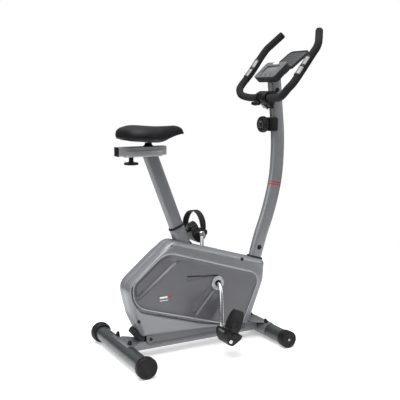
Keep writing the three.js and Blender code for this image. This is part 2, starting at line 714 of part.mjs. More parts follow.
function addSeat() {
  const post = seatOval(SEAT_POST.wide, SEAT_POST.deep, -SEAT_POST.inserted, 400);
  const inner = seatOval(SEAT_POST.wide - 5, SEAT_POST.deep - 5, -SEAT_POST.inserted - 1, 401);
  const holes = [];
  for (let i = 0; i < SEAT_POST.holes; i += 1) {
    const along = (i - 1) * SEAT_POST.pitch - SEAT_PIN.drop;
    holes.push(barX(0, along, SEAT_PIN.radius + 0.5, 15, 40, 8));
  }
  const above = box(-500, 0, -60, 60, SEAT_POST.topZ, 1200);
  const piece = cut(post, inner, ...holes).applyMatrix4(seatMatrix());
  add(bike, 'seat_post', cut(piece, above), SILVER_PAINT());

  const { drop, knobFrom, knobTo } = SEAT_PIN;
  const pin = join(
    barX(0, -drop, SEAT_PIN.radius, SEAT_POST.deep / 2 + 0.6, SEAT_TUBE.deep / 2 + 2, 10),
    barX(0, -drop, SEAT_PIN.boss, SEAT_TUBE.deep / 2 + GAP, knobFrom + 1, 16),
    lobedKnobX(SEAT_PIN.knob, 10, 3, knobFrom, knobTo).translate(0, 0, -drop),
  );
  add(bike, 'seat_pin_knob', pin.applyMatrix4(seatMatrix()), BLACK_PLASTIC());

  const { rear, front, low, high, half } = SLIDER;
  const capDepth = 4;
  const tube = box(rear + capDepth, front, -half, half, low, high);
  const bore = box(rear, front + 1, -half + WALL, half - WALL, low + WALL, high - WALL);
  add(bike, 'slider_tube', cut(tube, bore), SILVER_PAINT());
  const capEdge = rear + capDepth - GAP;
  add(bike, 'slider_cap', box(rear, capEdge, -half, half, low, high), BLACK_PLASTIC());

  const side = half + GAP;
  const floor = low - GAP;
  const sleeve = box(SLEEVE.rear, SLEEVE.front, -side - 3, side + 3, floor - 3.5, SLEEVE.high);
  const channel = box(SLEEVE.rear - 1, SLEEVE.front + 1, -side, side, floor, high + 1);
  add(bike, 'slide_sleeve', cut(sleeve, channel), SILVER_PAINT());

  const knob = join(
    slab(lobedOutline(SLIDER_KNOB.radius, 8, 3, 6), SLIDER_KNOB.low, SLIDER_KNOB.high),
    barZ(0, 0, 9, SLIDER_KNOB.high - 1, floor - 3.5 - GAP, 16),
  );
  add(bike, 'slider_knob', knob.translate(SLIDER_KNOB.x, 0, 0), BLACK_PLASTIC());

  const base = high + GAP;
  const stub = new THREE.LatheGeometry([
    v2(0, base), v2(20, base), v2(20, base + 2), v2(SADDLE_STUB.radius, base + 6),
    v2(SADDLE_STUB.radius, 867.8), v2(0, 867.8),
  ], 20);
  stub.rotateX(Math.PI / 2).translate(SADDLE_STUB.x, 0, 0);
  add(bike, 'saddle_clamp', stub, BLACK_PLASTIC());
  add(bike, 'saddle', saddle(), VINYL());
}

// Saddle stations from the broad rear to the nose: [x, half width, top, underside].
const SADDLE_STATIONS = [
  [-408, 44, 916, 888], [-400, 76, 928, 882], [-384, 98, 934, 878], [-354, 113, 937, 875],
  [-320, 115, 936, 873], [-290, 102, 932, 871], [-262, 80, 929, 869], [-235, 56, 929, 871],
  [-208, 40, 931, 878], [-178, 31, 932, 887], [-152, 25, 929, 894], [-138, 17, 920, 898],
  [-132, 8, 911, 902],
];

function saddle() {
  const sides = 20;
  const rings = SADDLE_STATIONS.map(([x, half, top, under]) => {
    const ring = [];
    for (let i = 0; i < sides; i += 1) {
      const angle = (2 * Math.PI * i) / sides;
      const [c, s] = [Math.cos(angle), Math.sin(angle)];
      const y = half * Math.sign(c) * Math.abs(c) ** 0.7;
      const rise = (top - under) / 2;
      ring.push(v3(x, y, (top + under) / 2 + rise * Math.sign(s) * Math.abs(s) ** 0.7));
    }
    return ring;
  });
  return loft(rings);
}

// ---------------------------------------------------------------- tension control

function addTensionControl() {
  const { low, high, rear, front, half, knob, knobRear } = TENSION;
  const middle = (low + high) / 2;
  const block = box(rear, front, -half, half, low, high);
  add(bike, 'tension_box', cut(block, mastSolid(GAP)), BLACK_PLASTIC());
  const dial = lobedKnobX(knob, 12, 1.2, knobRear, rear - 10).translate(0, 0, middle);
  const neck = barX(0, middle, 16, rear - 11, rear - GAP, 20);
  add(bike, 'tension_knob', join(dial, neck), BLACK_PLASTIC());

  const cable = new THREE.CatmullRomCurve3([
    v3(325, 0, 900), v3(327, 0, 860), v3(326, 0, 760), v3(316, 0, 680), v3(301, 0, 610),
    v3(275, 0, 525), v3(262, 0, 480),
  ]);
  add(bike, 'tension_cable', sweep(circle(2, 6), cable, 18), RUBBER());
}

// ---------------------------------------------------------------- handlebar

const BAR_LINE = (() => {
  const half = [
    [BAR.x, 0, BAR.z], [BAR.x, 60, BAR.z], [250, 120, 1043], [241, 160, 1054], [248, 184, 1078],
    [266, 192, 1099], [312, 189, 1152], [360, 190.5, 1216], [383, 190, 1245], [394, 185, 1260],
    [405, 174, 1273.5], [442, 129, 1323],
  ];
  const left = half.map(([x, y, z]) => v3(x, y, z));
  const right = half.slice(1).reverse().map(([x, y, z]) => v3(x, -y, z));
  return new THREE.CatmullRomCurve3([...right, ...left], false, 'centripetal');
})();

const BAR_LENGTH = BAR_LINE.getLength();

// A stretch of the bar between two distances from its middle, on one side.
function barStretch(sign, from, to) {
  return new Stretch(BAR_LINE, 0.5 + (sign * from) / BAR_LENGTH, 0.5 + (sign * to) / BAR_LENGTH);
}

function addHandlebar() {
  const end = BAR_LENGTH / 2;
  const tube = sweep(circle(BAR.radius, 10), new Stretch(BAR_LINE, 0.004, 0.996), 60);
  add(bike, 'handlebar_tube', tube, STEEL());
  const sensor = { from: 262, to: 362 };
  for (const [side, sign] of SIDES) {
    const foam = hollow(circle(BAR.foam, 10), circle(BAR.radius + 2.2, 10));
    const grip = sweep(foam, barStretch(sign, BAR.clampHalf + 3, end - 3), 20);
    add(bike, `grip_${side}`, grip, FOAM());
    const sleeve = hollow(circle(BAR.foam + 2.6, 12), circle(BAR.foam + 1, 12));
    const plates = sweep(sleeve, barStretch(sign, sensor.from, sensor.to), 4);
    add(bike, `pulse_sensor_${side}`, plates, CHROME());
  }
}

function addClamp() {
  const outline = rounded([
    [233, 1034, 10], [235, 1060, 10], [250, 1071, 6], [304, 1070, 6], [306, 1040, 8], [289, 1016, 6],
    [286, 995, 5], [274, 995, 5], [252, 1019, 6],
  ], 3);
  const block = plate(outline, -BAR.clampHalf, BAR.clampHalf);
  const bore = barY(BAR.x, BAR.z, BAR.radius + 0.9, -60, 60, 28);
  add(bike, 'clamp_cover', cut(block, mastSolid(GAP), bore), BLACK_PLASTIC());

  const leverZ = 1017.5;
  const shaft = barX(0, leverZ, 4, 222, 246, 16);
  const wing = plate(rounded([
    [206, leverZ - 7, 5], [223, leverZ - 8, 5], [223, leverZ + 8, 5], [206, leverZ + 7, 5],
  ], 3), -28, 28);
  add(bike, 'clamp_lever', join(shaft, wing), BLACK_PLASTIC());
}

// ---------------------------------------------------------------- console

function addConsole() {
  const { x, z, tilt, half, reach, depth } = CONSOLE;
  const group = new THREE.Group();
  group.position.set(x, 0, z);
  group.rotation.y = -radians(tilt);
  bike.add(group);

  const bezel = 3.7;
  const caseTop = -bezel - GAP;
  const outline = roundedBox(reach, half, 14);
  const options = {
    depth: depth - 4 + caseTop,
    bevelEnabled: true,
    bevelThickness: 4,
    bevelSize: 4,
    bevelOffset: -4,
    bevelSegments: 1,
  };
  const tray = new THREE.ExtrudeGeometry(outline, options).translate(0, 0, 4 - depth);
  const top = box(-200, 200, -200, 200, caseTop, 100);
  const toLocal = consoleMatrix().invert();
  const neckLine = new Stretch(MAST_LINE, 0.945, 0.99);
  const neck = sweep(flatOval(MAST.wide + 6, MAST.deep + 6), neckLine, 4).applyMatrix4(toLocal);
  const mast = mastSolid(GAP + 0.2).applyMatrix4(toLocal);
  const mastZone = overlap(mast, box(-200, 200, -200, 200, -200, -depth));
  const shell = cut(join(tray, neck), top, mastZone);
  add(group, 'console_case', shell, BLACK_PLASTIC());

  const windowShape = { x0: -18, x1: 20, y: 44 };
  const face = slab(outline, -bezel, 0, 6);
  const buttons = [-36, 0, 36].map((y) => ({ x: -33, y }));
  const holes = buttons.map((b) => barZ(b.x, b.y, 6.4, -10, 10, 20));
  const opening = box(windowShape.x0, windowShape.x1, -windowShape.y, windowShape.y, -10, 10);
  add(group, 'console_face', cut(face, opening, ...holes), GREY_PLASTIC());
  const inset = 0.4;
  const lens = box(windowShape.x0 + inset, windowShape.x1 - inset, -windowShape.y + inset,
    windowShape.y - inset, -bezel + 0.1, -1.2);
  add(group, 'console_lens', lens, LENS());
  buttons.forEach((b, i) => {
    add(group, `console_button_${i + 1}`, barZ(b.x, b.y, 5.6, -2.2, 2, 20), BLACK_PLASTIC());
  });

  const restShape = rounded([
    [REST.from, -REST.half, 6], [REST.to, 8 - REST.half, 26], [REST.to, REST.half - 8, 26],
    [REST.from, REST.half, 6],
  ], 6);
  const recess = rounded([
    [REST.from + 7, 7 - REST.half, 6], [REST.to - 6, 14 - REST.half, 22],
    [REST.to - 6, REST.half - 14, 22], [REST.from + 7, REST.half - 7, 6],
  ], 6);
  const board = cut(slab(restShape, REST.back, REST.face + 4), slab(recess, REST.face, 20));
  board.translate(-REST.pivot, 0, -REST.face - 4).rotateY(radians(REST.tilt));
  board.translate(REST.pivot, 0, REST.face + 4);
  const bridge = box(BRIDGE.rear, BRIDGE.front, -BRIDGE.half, BRIDGE.half, BRIDGE.back, -depth - GAP);
  const caseZone = box(-60, reach + GAP, -90, 90, -depth - GAP, 10);
  const rest = cut(join(board, bridge), caseZone, neck, mast);
  add(group, 'tablet_rest', rest, GREY_PLASTIC());
}

addBase();
addRearFoot();
addFrontFoot();
addMast();
addFrontPost();
addSeatTube();
addBottomBracket();
addFlywheel();
addFork();
addMagnetCarrier();
addPulleyAndBelt();
addCrank();
addHousing();
addSeat();
addTensionControl();
addHandlebar();
addClamp();
addConsole();

export default bike;
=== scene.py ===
# Exercise bike: the looks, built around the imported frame. Metres, +X forward, +Y left, +Z up.
import math

import bmesh
import bpy
import numpy as np
from mathutils import Matrix, Vector


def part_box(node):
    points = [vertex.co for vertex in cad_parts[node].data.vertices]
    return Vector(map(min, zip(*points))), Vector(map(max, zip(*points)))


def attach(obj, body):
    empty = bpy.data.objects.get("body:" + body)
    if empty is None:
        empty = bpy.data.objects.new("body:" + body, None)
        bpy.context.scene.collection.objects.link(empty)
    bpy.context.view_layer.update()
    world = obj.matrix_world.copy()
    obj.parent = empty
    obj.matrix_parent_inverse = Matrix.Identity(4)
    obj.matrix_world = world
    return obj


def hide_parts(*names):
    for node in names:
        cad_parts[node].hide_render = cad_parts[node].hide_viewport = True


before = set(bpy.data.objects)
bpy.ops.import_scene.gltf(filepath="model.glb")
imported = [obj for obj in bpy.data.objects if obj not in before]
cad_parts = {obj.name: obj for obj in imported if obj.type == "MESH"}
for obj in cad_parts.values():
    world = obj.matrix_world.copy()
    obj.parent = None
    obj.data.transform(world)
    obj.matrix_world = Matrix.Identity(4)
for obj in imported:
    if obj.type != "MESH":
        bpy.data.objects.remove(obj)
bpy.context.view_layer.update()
SIDES = (("right", -1), ("left", 1))

# ------------------------------------------------------------------ camera and stage

CAMERA_AT = Vector((-1.4723, -2.5983, 1.0604))
CAMERA_LOOKS_AT = Vector((-0.0548, 0.0, 0.6229))
CAMERA_LENS = 65.0
SIDE_GLOW, SKY_GLOW, FLOOR_GLOW = 0.12, 0.90, 0.34


def add_camera():
    data = bpy.data.cameras.new("camera")
    data.lens = CAMERA_LENS
    data.sensor_width = 36.0
    camera = bpy.data.objects.new("camera", data)
    bpy.context.scene.collection.objects.link(camera)
    camera.location = CAMERA_AT
    camera.rotation_euler = (CAMERA_LOOKS_AT - CAMERA_AT).to_track_quat("-Z", "Y").to_euler()
    bpy.context.scene.camera = camera


def add_area(name, at, target, size, power):
    data = bpy.data.lights.new(name, "AREA")
    data.shape = "RECTANGLE"
    data.size, data.size_y = size
    data.energy = power
    light = bpy.data.objects.new(name, data)
    bpy.context.scene.collection.objects.link(light)
    light.location = at
    light.rotation_euler = (Vector(target) - Vector(at)).to_track_quat("-Z", "Y").to_euler()


def add_world():
    """A studio: white to look at, lighting the bike strongly from above and weakly from the sides."""
    world = bpy.data.worlds.new("studio")
    world.use_nodes = True
    nodes, links = world.node_tree.nodes, world.node_tree.links
    parts = nodes.new("ShaderNodeSeparateXYZ")
    links.new(nodes.new("ShaderNodeTexCoord").outputs["Generated"], parts.inputs["Vector"])
    rise = nodes.new("ShaderNodeMapRange")
    rise.interpolation_type = "SMOOTHSTEP"
    links.new(parts.outputs["Z"], rise.inputs["Value"])
    rise.inputs["From Min"].default_value = 0.10
    rise.inputs["From Max"].default_value = 0.80
    rise.inputs["To Min"].default_value = SIDE_GLOW
    rise.inputs["To Max"].default_value = SKY_GLOW
    links.new(rise.outputs["Result"], nodes["Background"].inputs["Strength"])
    nodes["Background"].inputs["Color"].default_value = (1.0, 1.0, 1.0, 1)
    seen = nodes.new("ShaderNodeBackground")
    seen.inputs["Color"].default_value = (1.0, 1.0, 1.0, 1)
    choice = nodes.new("ShaderNodeMixShader")
    links.new(nodes.new("ShaderNodeLightPath").outputs["Is Camera Ray"], choice.inputs["Fac"])
    links.new(nodes["Background"].outputs["Background"], choice.inputs[1])
    links.new(seen.outputs["Background"], choice.inputs[2])
    links.new(choice.outputs["Shader"], nodes["World Output"].inputs["Surface"])
    bpy.context.scene.world = world


def add_lights():
    add_world()
    bpy.context.scene.view_settings.view_transform = "Standard"
    middle = (0, 0, 0.6)
    add_area("top_light", (-0.7, -0.3, 3.0), middle, (2.4, 2.4), 85)
    add_area("left_light", (-3.0, -0.9, 2.0), middle, (1.4, 2.2), 24)
    add_area("front_light", (2.4, -1.6, 1.6), middle, (1.0, 2.0), 14)


def add_floor():
    """A pale round floor, only as wide as the bike's own shadow and bounce need."""
    sides, radius = 96, 1.9
    turns = [2 * math.pi * i / sides for i in range(sides)]
    verts = [(radius * math.cos(t), radius * math.sin(t), 0.0) for t in turns]
    floor = mesh_piece("floor", verts, [tuple(range(sides))], 60)
    shade = Shade("pale_floor", (0.86, 0.86, 0.86), 0.95)
    shade.tint(shade.noise(0.8, 2), (0.85, 0.85, 0.85), (0.87, 0.87, 0.87))
    shade.shader.inputs["Emission Color"].default_value = (1, 1, 1, 1)
    shade.shader.inputs["Emission Strength"].default_value = FLOOR_GLOW
    floor.data.materials.append(shade.material)


# ------------------------------------------------------------------ materials

class Shade:
    """One node material: a Principled shader with noise-driven colour, roughness and bump."""

    def __init__(self, name, color, roughness, metallic=0.0, coat=0.0, sheen=0.0, specular=0.22):
        self.material = bpy.data.materials.new(name)
        self.material.use_nodes = True
        self.nodes = self.material.node_tree.nodes
        self.links = self.material.node_tree.links
        self.shader = self.nodes["Principled BSDF"]
        self.shader.inputs["Base Color"].default_value = (*color, 1)
        self.shader.inputs["Roughness"].default_value = roughness
        self.shader.inputs["Metallic"].default_value = metallic
        self.shader.inputs["Coat Weight"].default_value = coat
        self.shader.inputs["Coat Roughness"].default_value = 0.18
        self.shader.inputs["Sheen Weight"].default_value = sheen
        self.shader.inputs["Specular IOR Level"].default_value = specular
        self.place = self.nodes.new("ShaderNodeTexCoord").outputs["Object"]
        self.height = None

    def stretched(self, scale):
        mapping = self.nodes.new("ShaderNodeMapping")
        mapping.inputs["Scale"].default_value = scale
        self.links.new(self.place, mapping.inputs["Vector"])
        return mapping.outputs["Vector"]

    def noise(self, scale, detail=3, stretch=None):
        node = self.nodes.new("ShaderNodeTexNoise")
        node.inputs["Scale"].default_value = scale
        node.inputs["Detail"].default_value = detail
        self.links.new(self.stretched(stretch) if stretch else self.place, node.inputs["Vector"])
        return node.outputs["Fac"]

    def cells(self, scale, stretch=None):
        node = self.nodes.new("ShaderNodeTexVoronoi")
        node.feature = "DISTANCE_TO_EDGE"
        node.inputs["Scale"].default_value = scale
        self.links.new(self.stretched(stretch) if stretch else self.place, node.inputs["Vector"])
        return self.span(node.outputs["Distance"], 0.0, 0.22, 0, 1)

    def edges(self, start=0.53, end=0.62):
        """Where the surface is convex, so that edges can look rubbed."""
        return self.span(self.nodes.new("ShaderNodeNewGeometry").outputs["Pointiness"], start, end, 0, 1)

    def span(self, value, from_low, from_high, to_low, to_high):
        node = self.nodes.new("ShaderNodeMapRange")
        self.links.new(value, node.inputs["Value"])
        node.inputs["From Min"].default_value = from_low
        node.inputs["From Max"].default_value = from_high
        node.inputs["To Min"].default_value = to_low
        node.inputs["To Max"].default_value = to_high
        return node.outputs["Result"]

    def mixed(self, fac, low, high):
        node = self.nodes.new("ShaderNodeMix")
        node.data_type = "RGBA"
        self.links.new(fac, node.inputs["Factor"])
        for socket, value in ((node.inputs[6], low), (node.inputs[7], high)):
            if isinstance(value, tuple):
                socket.default_value = (*value, 1)
            else:
                self.links.new(value, socket)
        return node.outputs[2]

    def tint(self, fac, low, high):
        color = self.mixed(fac, low, high)
        self.links.new(color, self.shader.inputs["Base Color"])
        return color

    def rough(self, fac, low, high):
        self.links.new(self.span(fac, 0.3, 0.7, low, high), self.shader.inputs["Roughness"])

    def bump(self, fac, depth, strength=1.0):
        node = self.nodes.new("ShaderNodeBump")
        node.inputs["Strength"].default_value = strength
        node.inputs["Distance"].default_value = depth
        self.links.new(fac, node.inputs["Height"])
        if self.height is not None:
            self.links.new(self.height, node.inputs["Normal"])
        self.height = node.outputs["Normal"]
        self.links.new(self.height, self.shader.inputs["Normal"])


def scaled(color, factor):
    return tuple(min(1.0, c * factor) for c in color)


def metallic_paint(name, color, metallic=0.55, roughness=0.36):
    """Silver-grey lacquer: fine flakes, a slight orange peel, and lighter rubbed edges."""
    shade = Shade(name, color, roughness, metallic, coat=0.25)
    flakes = shade.mixed(shade.noise(2400, 1), scaled(color, 0.9), scaled(color, 1.1))
    clouds = shade.mixed(shade.span(shade.noise(5, 3), 0.3, 0.7, 0.0, 0.12), flakes, scaled(color, 0.8))
    shade.tint(shade.span(shade.edges(), 0, 1, 0.0, 0.35), clouds, scaled(color, 1.5))
    shade.rough(shade.noise(30, 4), roughness - 0.05, roughness + 0.06)
    shade.bump(shade.noise(420, 2), 0.00012, 0.5)
    shade.bump(shade.noise(2400, 1), 0.00003, 0.4)
    return shade.material


def moulded(name, color, roughness=0.45, grain=1500, depth=0.00010):
    """Moulded plastic with a spark-eroded grain and slightly shiny rubbed edges."""
    shade = Shade(name, color, roughness)
    body = shade.mixed(shade.noise(9, 4), scaled(color, 0.8), scaled(color, 1.25))
    shade.tint(shade.span(shade.edges(), 0, 1, 0.0, 0.5), body, scaled(color, 1.7))
    shade.rough(shade.noise(45, 4), roughness - 0.07, roughness + 0.10)
    shade.bump(shade.noise(grain, 2), depth, 0.6)
    return shade.material


def vinyl(name, color):
    """Upholstery vinyl with a pebbled leather grain."""
    shade = Shade(name, color, 0.42, sheen=0.01, specular=0.17)
    grain = shade.cells(520)
    body = shade.mixed(shade.noise(7, 4), scaled(color, 0.75), scaled(color, 1.35))
    shade.tint(grain, scaled(color, 0.5), body)
    shade.rough(shade.noise(24, 3), 0.36, 0.52)
    shade.bump(grain, 0.00022, 0.55)
    shade.bump(shade.noise(60, 3), 0.0006, 0.35)
    return shade.material


def foam(name, color):
    """Closed-cell foam: matt, with small open pores."""
    shade = Shade(name, color, 0.93, sheen=0.02, specular=0.15)
    pores = shade.noise(700, 5)
    shade.tint(shade.span(pores, 0.35, 0.6, 0, 1), scaled(color, 0.45), scaled(color, 1.35))
    shade.rough(shade.noise(50, 2), 0.88, 0.97)
    shade.bump(pores, 0.0006, 0.8)
    return shade.material


def plated(name, color, roughness):
    """Bright plating with faint smudges."""
    shade = Shade(name, color, roughness, 1.0)
    shade.tint(shade.noise(8, 4), scaled(color, 0.93), color)
    shade.rough(shade.noise(40, 5), roughness, roughness + 0.09)
    shade.bump(shade.noise(700, 2), 0.00002, 0.3)
    return shade.material


def machined(name, color, roughness, lines):
    """Bare metal with fine tool lines."""
    shade = Shade(name, color, roughness, 1.0)
    marks = shade.noise(40, 4, lines)
    shade.tint(marks, scaled(color, 0.8), scaled(color, 1.15))
    shade.rough(marks, roughness - 0.06, roughness + 0.1)
    shade.bump(marks, 0.00008, 0.5)
    return shade.material


def rubber(name, color, ribs=None):
    shade = Shade(name, color, 0.62)
    shade.tint(shade.noise(30, 4), scaled(color, 0.7), scaled(color, 1.5))
    shade.rough(shade.noise(80, 3), 0.5, 0.72)
    shade.bump(shade.noise(900, 3), 0.00015, 0.5)
    if ribs:
        shade.bump(shade.noise(60, 1, ribs), 0.0003, 0.4)
    return shade.material


def display(name):
    """A dark grey display window: a slightly streaked polariser under a clear gloss."""
    color = (0.115, 0.118, 0.12)
    shade = Shade(name, color, 0.22, coat=0.6)
    shade.tint(shade.noise(35, 3), scaled(color, 0.85), scaled(color, 1.15))
    shade.rough(shade.noise(60, 3), 0.18, 0.3)
    shade.bump(shade.noise(250, 2), 0.00003, 0.3)
    return shade.material


PAINT = metallic_paint("silver_paint", (0.205, 0.209, 0.222))
BRIGHT_PAINT = metallic_paint("bright_silver_paint", (0.40, 0.405, 0.42))
COVER = metallic_paint("cover_lacquer", (0.235, 0.239, 0.254), 0.45, 0.36)
PANEL_PAINT = metallic_paint("panel_lacquer", (0.122, 0.123, 0.136), 0.45, 0.34)
# A lighter lacquer for the strip along the panel's ridge: a painted highlight on the raised bead.
RIDGE_HIGHLIGHT_PAINT = metallic_paint("ridge_highlight_lacquer", (0.36, 0.365, 0.385), 0.45, 0.34)
MAST_PAINT = metallic_paint("mast_paint", (0.265, 0.27, 0.285))
BRUSHED = plated("brushed_contact", (0.19, 0.19, 0.20), 0.5)
REST_PLASTIC = moulded("rest_plastic", (0.048, 0.049, 0.052), 0.5)
DARK_PAINT = metallic_paint("dark_paint", (0.055, 0.06, 0.062), 0.5, 0.32)
BLACK = moulded("black_plastic", (0.007, 0.007, 0.008))
BLACK_SATIN = moulded("black_satin", (0.011, 0.011, 0.012), 0.3, 2200, 0.00004)
CHARCOAL = moulded("charcoal_plastic", (0.018, 0.0185, 0.020), 0.5)
GREY = moulded("grey_plastic", (0.095, 0.097, 0.103), 0.5, 900, 0.0002)
PALE = moulded("pale_plastic", (0.62, 0.62, 0.62), 0.4)
REFLECTOR = moulded("reflector_plastic", (0.10, 0.10, 0.10), 0.25)
RED = moulded("red_band", (0.34, 0.02, 0.03), 0.4)
VINYL = vinyl("saddle_vinyl", (0.007, 0.007, 0.009))
FOAM = foam("grip_foam", (0.017, 0.017, 0.018))
CHROME = plated("chrome", (0.83, 0.83, 0.85), 0.07)
STEEL = machined("machined_steel", (0.42, 0.42, 0.43), 0.34, (1, 14, 1))
IRON = machined("turned_iron", (0.13, 0.13, 0.135), 0.45, (1, 20, 1))
RUBBER = rubber("strap_rubber", (0.012, 0.012, 0.013))
BELT = rubber("belt_rubber", (0.012, 0.012, 0.012), (1, 30, 1))
DISPLAY = display("display_window")

# ------------------------------------------------------------------ mesh tools


def shaded(piece, sharp=35):
    """Normals outward, smooth faces, and hard edges above the sharp angle."""
    form = bmesh.new()
    form.from_mesh(piece.data)
    bmesh.ops.remove_doubles(form, verts=form.verts, dist=1e-6)
    bmesh.ops.recalc_face_normals(form, faces=form.faces)
    form.to_mesh(piece.data)
    form.free()
    piece.data.polygons.foreach_set("use_smooth", [True] * len(piece.data.polygons))
    piece.data.set_sharp_from_angle(angle=math.radians(sharp))
    return piece


def mesh_piece(name, verts, faces, sharp=35):
    mesh = bpy.data.meshes.new(name)
    mesh.from_pydata([tuple(v) for v in verts], [], [tuple(f) for f in faces])
    piece = bpy.data.objects.new(name, mesh)
    bpy.context.scene.collection.objects.link(piece)
    return shaded(piece, sharp)


def baked(piece, sharp=35):
    """Applies the piece's modifiers to its mesh."""
    bpy.context.view_layer.update()
    graph = bpy.context.evaluated_depsgraph_get()
    mesh = bpy.data.meshes.new_from_object(piece.evaluated_get(graph))
    piece.modifiers.clear()
    piece.data = mesh
    return shaded(piece, sharp)


def rounded_off(piece, width, segments=3, angle=30, sharp=35):
    bevel = piece.modifiers.new("bevel", "BEVEL")
    bevel.width = width
    bevel.segments = segments
    bevel.limit_method = "ANGLE"
    bevel.angle_limit = math.radians(angle)
    return baked(piece, sharp)


def carved(piece, *tools):
    for tool in tools:
        step = piece.modifiers.new("carve", "BOOLEAN")
        step.object = tool
        step.operation = "DIFFERENCE"
    baked(piece)
    for tool in tools:
        bpy.data.objects.remove(tool)
    return piece


def moved(piece, matrix):
    piece.data.transform(matrix)
    return piece


def joined(name, *pieces):
    """Several pieces as one, each keeping its material."""
    mesh = bpy.data.meshes.new(name)
    form = bmesh.new()
    for piece in pieces:
        for material in piece.data.materials:
            if material.name not in [m.name for m in mesh.materials]:
                mesh.materials.append(material)
        names = [m.name for m in mesh.materials]
        known = [names.index(m.name) for m in piece.data.materials] or [0]
        for face in piece.data.polygons:
            face.material_index = known[min(face.material_index, len(known) - 1)]
        form.from_mesh(piece.data)
    form.to_mesh(mesh)
    form.free()
    whole = bpy.data.objects.new(name, mesh)
    bpy.context.scene.collection.objects.link(whole)
    for piece in pieces:
        bpy.data.objects.remove(piece)
    return whole


def painted(piece, material):
    piece.data.materials.clear()
    piece.data.materials.append(material)
    return piece


def placed(piece, body, slot, *nodes):
    """The piece rides on a body and stands for these CAD nodes. The slot argument is not used."""
    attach(piece, body)
    if nodes:
        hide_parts(*nodes)
    return piece


def spline(points, count):
    """Evenly spaced points on a centripetal Catmull-Rom curve through the given ones."""
    knots = [Vector(p) for p in points]
    knots = [knots[0] * 2 - knots[1], *knots, knots[-1] * 2 - knots[-2]]
    fine = []
    for a, b, c, d in zip(knots, knots[1:], knots[2:], knots[3:]):
        t1 = (b - a).length ** 0.5
        t2 = t1 + (c - b).length ** 0.5
        t3 = t2 + (d - c).length ** 0.5
        for k in range(20):
            t = t1 + (t2 - t1) * k / 20
            ab = a * ((t1 - t) / t1) + b * (t / t1)
            bc = b * ((t2 - t) / (t2 - t1)) + c * ((t - t1) / (t2 - t1))
            cd = c * ((t3 - t) / (t3 - t2)) + d * ((t - t2) / (t3 - t2))
            abc = ab * ((t2 - t) / t2) + bc * (t / t2)
            bcd = bc * ((t3 - t) / (t3 - t1)) + cd * ((t - t1) / (t3 - t1))
            fine.append(abc * ((t2 - t) / (t2 - t1)) + bcd * ((t - t1) / (t2 - t1)))
    fine.append(knots[-2])
    return evenly(fine, count)


def evenly(points, count):
    array = np.array([tuple(p) for p in points])
    along = np.concatenate([[0], np.cumsum(np.linalg.norm(np.diff(array, axis=0), axis=1))])
    wanted = np.linspace(0, along[-1], count)
    return [Vector(row) for row in np.stack([np.interp(wanted, along, array[:, k]) for k in range(3)], 1)]


def stretch(path, start, end, count):
    """The part of an evenly spaced path between two shares of its length."""
    last = len(path) - 1
    picked = []
    for share in np.linspace(start, end, count):
        at = min(max(share * last, 0), last - 1e-6)
        picked.append(path[int(at)].lerp(path[int(at) + 1], at - int(at)))
    return picked


def length_of(path):
    return sum((b - a).length for a, b in zip(path, path[1:]))


def round_section(radius, sides=32):
    turns = [2 * math.pi * i / sides for i in range(sides)]
    return [(radius * math.cos(t), radius * math.sin(t)) for t in turns]


def rounded_section(wide, deep, radius, steps=6):
    """A rectangle with rounded corners: wide along the first axis, deep along the second."""
    points = []
    for quarter, (sx, sy) in enumerate(((1, 1), (-1, 1), (-1, -1), (1, -1))):
        for k in range(steps + 1):
            turn = math.radians(90 * (quarter + k / steps))
            x = sx * (wide / 2 - radius) + radius * math.cos(turn)
            points.append((x, sy * (deep / 2 - radius) + radius * math.sin(turn)))
    return points


def sweep(name, section, path, side=(0, 1, 0), sharp=35, sizes=None):
    """A section carried along a path; its first axis starts along side."""
    across = Vector(side)
    rings = []
    for i, point in enumerate(path):
        ahead = (path[min(i + 1, len(path) - 1)] - path[max(i - 1, 0)]).normalized()
        across = (across - ahead * across.dot(ahead)).normalized()
        up = ahead.cross(across)
        size = sizes[i] if sizes else 1
        rings.append([point + across * (u * size) + up * (v * size) for u, v in section])
    return skin(name, rings, sharp)


def skin(name, rings, sharp=35, caps=True):
    """Faces through rings of points, closed at both ends unless caps is off."""
    count = len(rings[0])
    verts = [p for ring in rings for p in ring]
    faces = []
    for k in range(len(rings) - 1):
        for i in range(count):
            j = (i + 1) % count
            faces.append((k * count + i, k * count + j, (k + 1) * count + j, (k + 1) * count + i))
    if caps:
        faces.append(tuple(range(count)))
        faces.append(tuple(range(len(verts) - count, len(verts))))
    return mesh_piece(name, verts, faces, sharp)


FRAMES = {
    "X": (Vector((1, 0, 0)), Vector((0, 1, 0)), Vector((0, 0, 1))),
    "Y": (Vector((0, 1, 0)), Vector((0, 0, 1)), Vector((1, 0, 0))),
    "Z": (Vector((0, 0, 1)), Vector((1, 0, 0)), Vector((0, 1, 0))),
}


def lathe(name, profile, origin, axis="Y", sides=72, sharp=35, wave=None):
    """A turned piece; the profile lists (radius, along). wave changes a radius by its turn."""
    along, u, v = FRAMES[axis]
    origin = Vector(origin)
    rings = []
    for radius, offset in profile:
        ring = []
        for i in range(sides):
            turn = 2 * math.pi * i / sides
            r = radius * (wave(turn, offset) if wave else 1)
            ring.append(origin + along * offset + u * (r * math.cos(turn)) + v * (r * math.sin(turn)))
        rings.append(ring)
    return skin(name, rings, sharp, caps=profile[0] != profile[-1])


def mirrored(profile, sign):
    """A profile that runs along +Y or, for the other side of the bike, along -Y."""
    return [(radius, sign * along) for radius, along in profile]


def stepped(name, section, foot, ahead, steps):
    """A short collar: each step is (distance from the foot, size)."""
    return sweep(name, section, [foot + ahead * a for a, _ in steps], sizes=[b for _, b in steps])


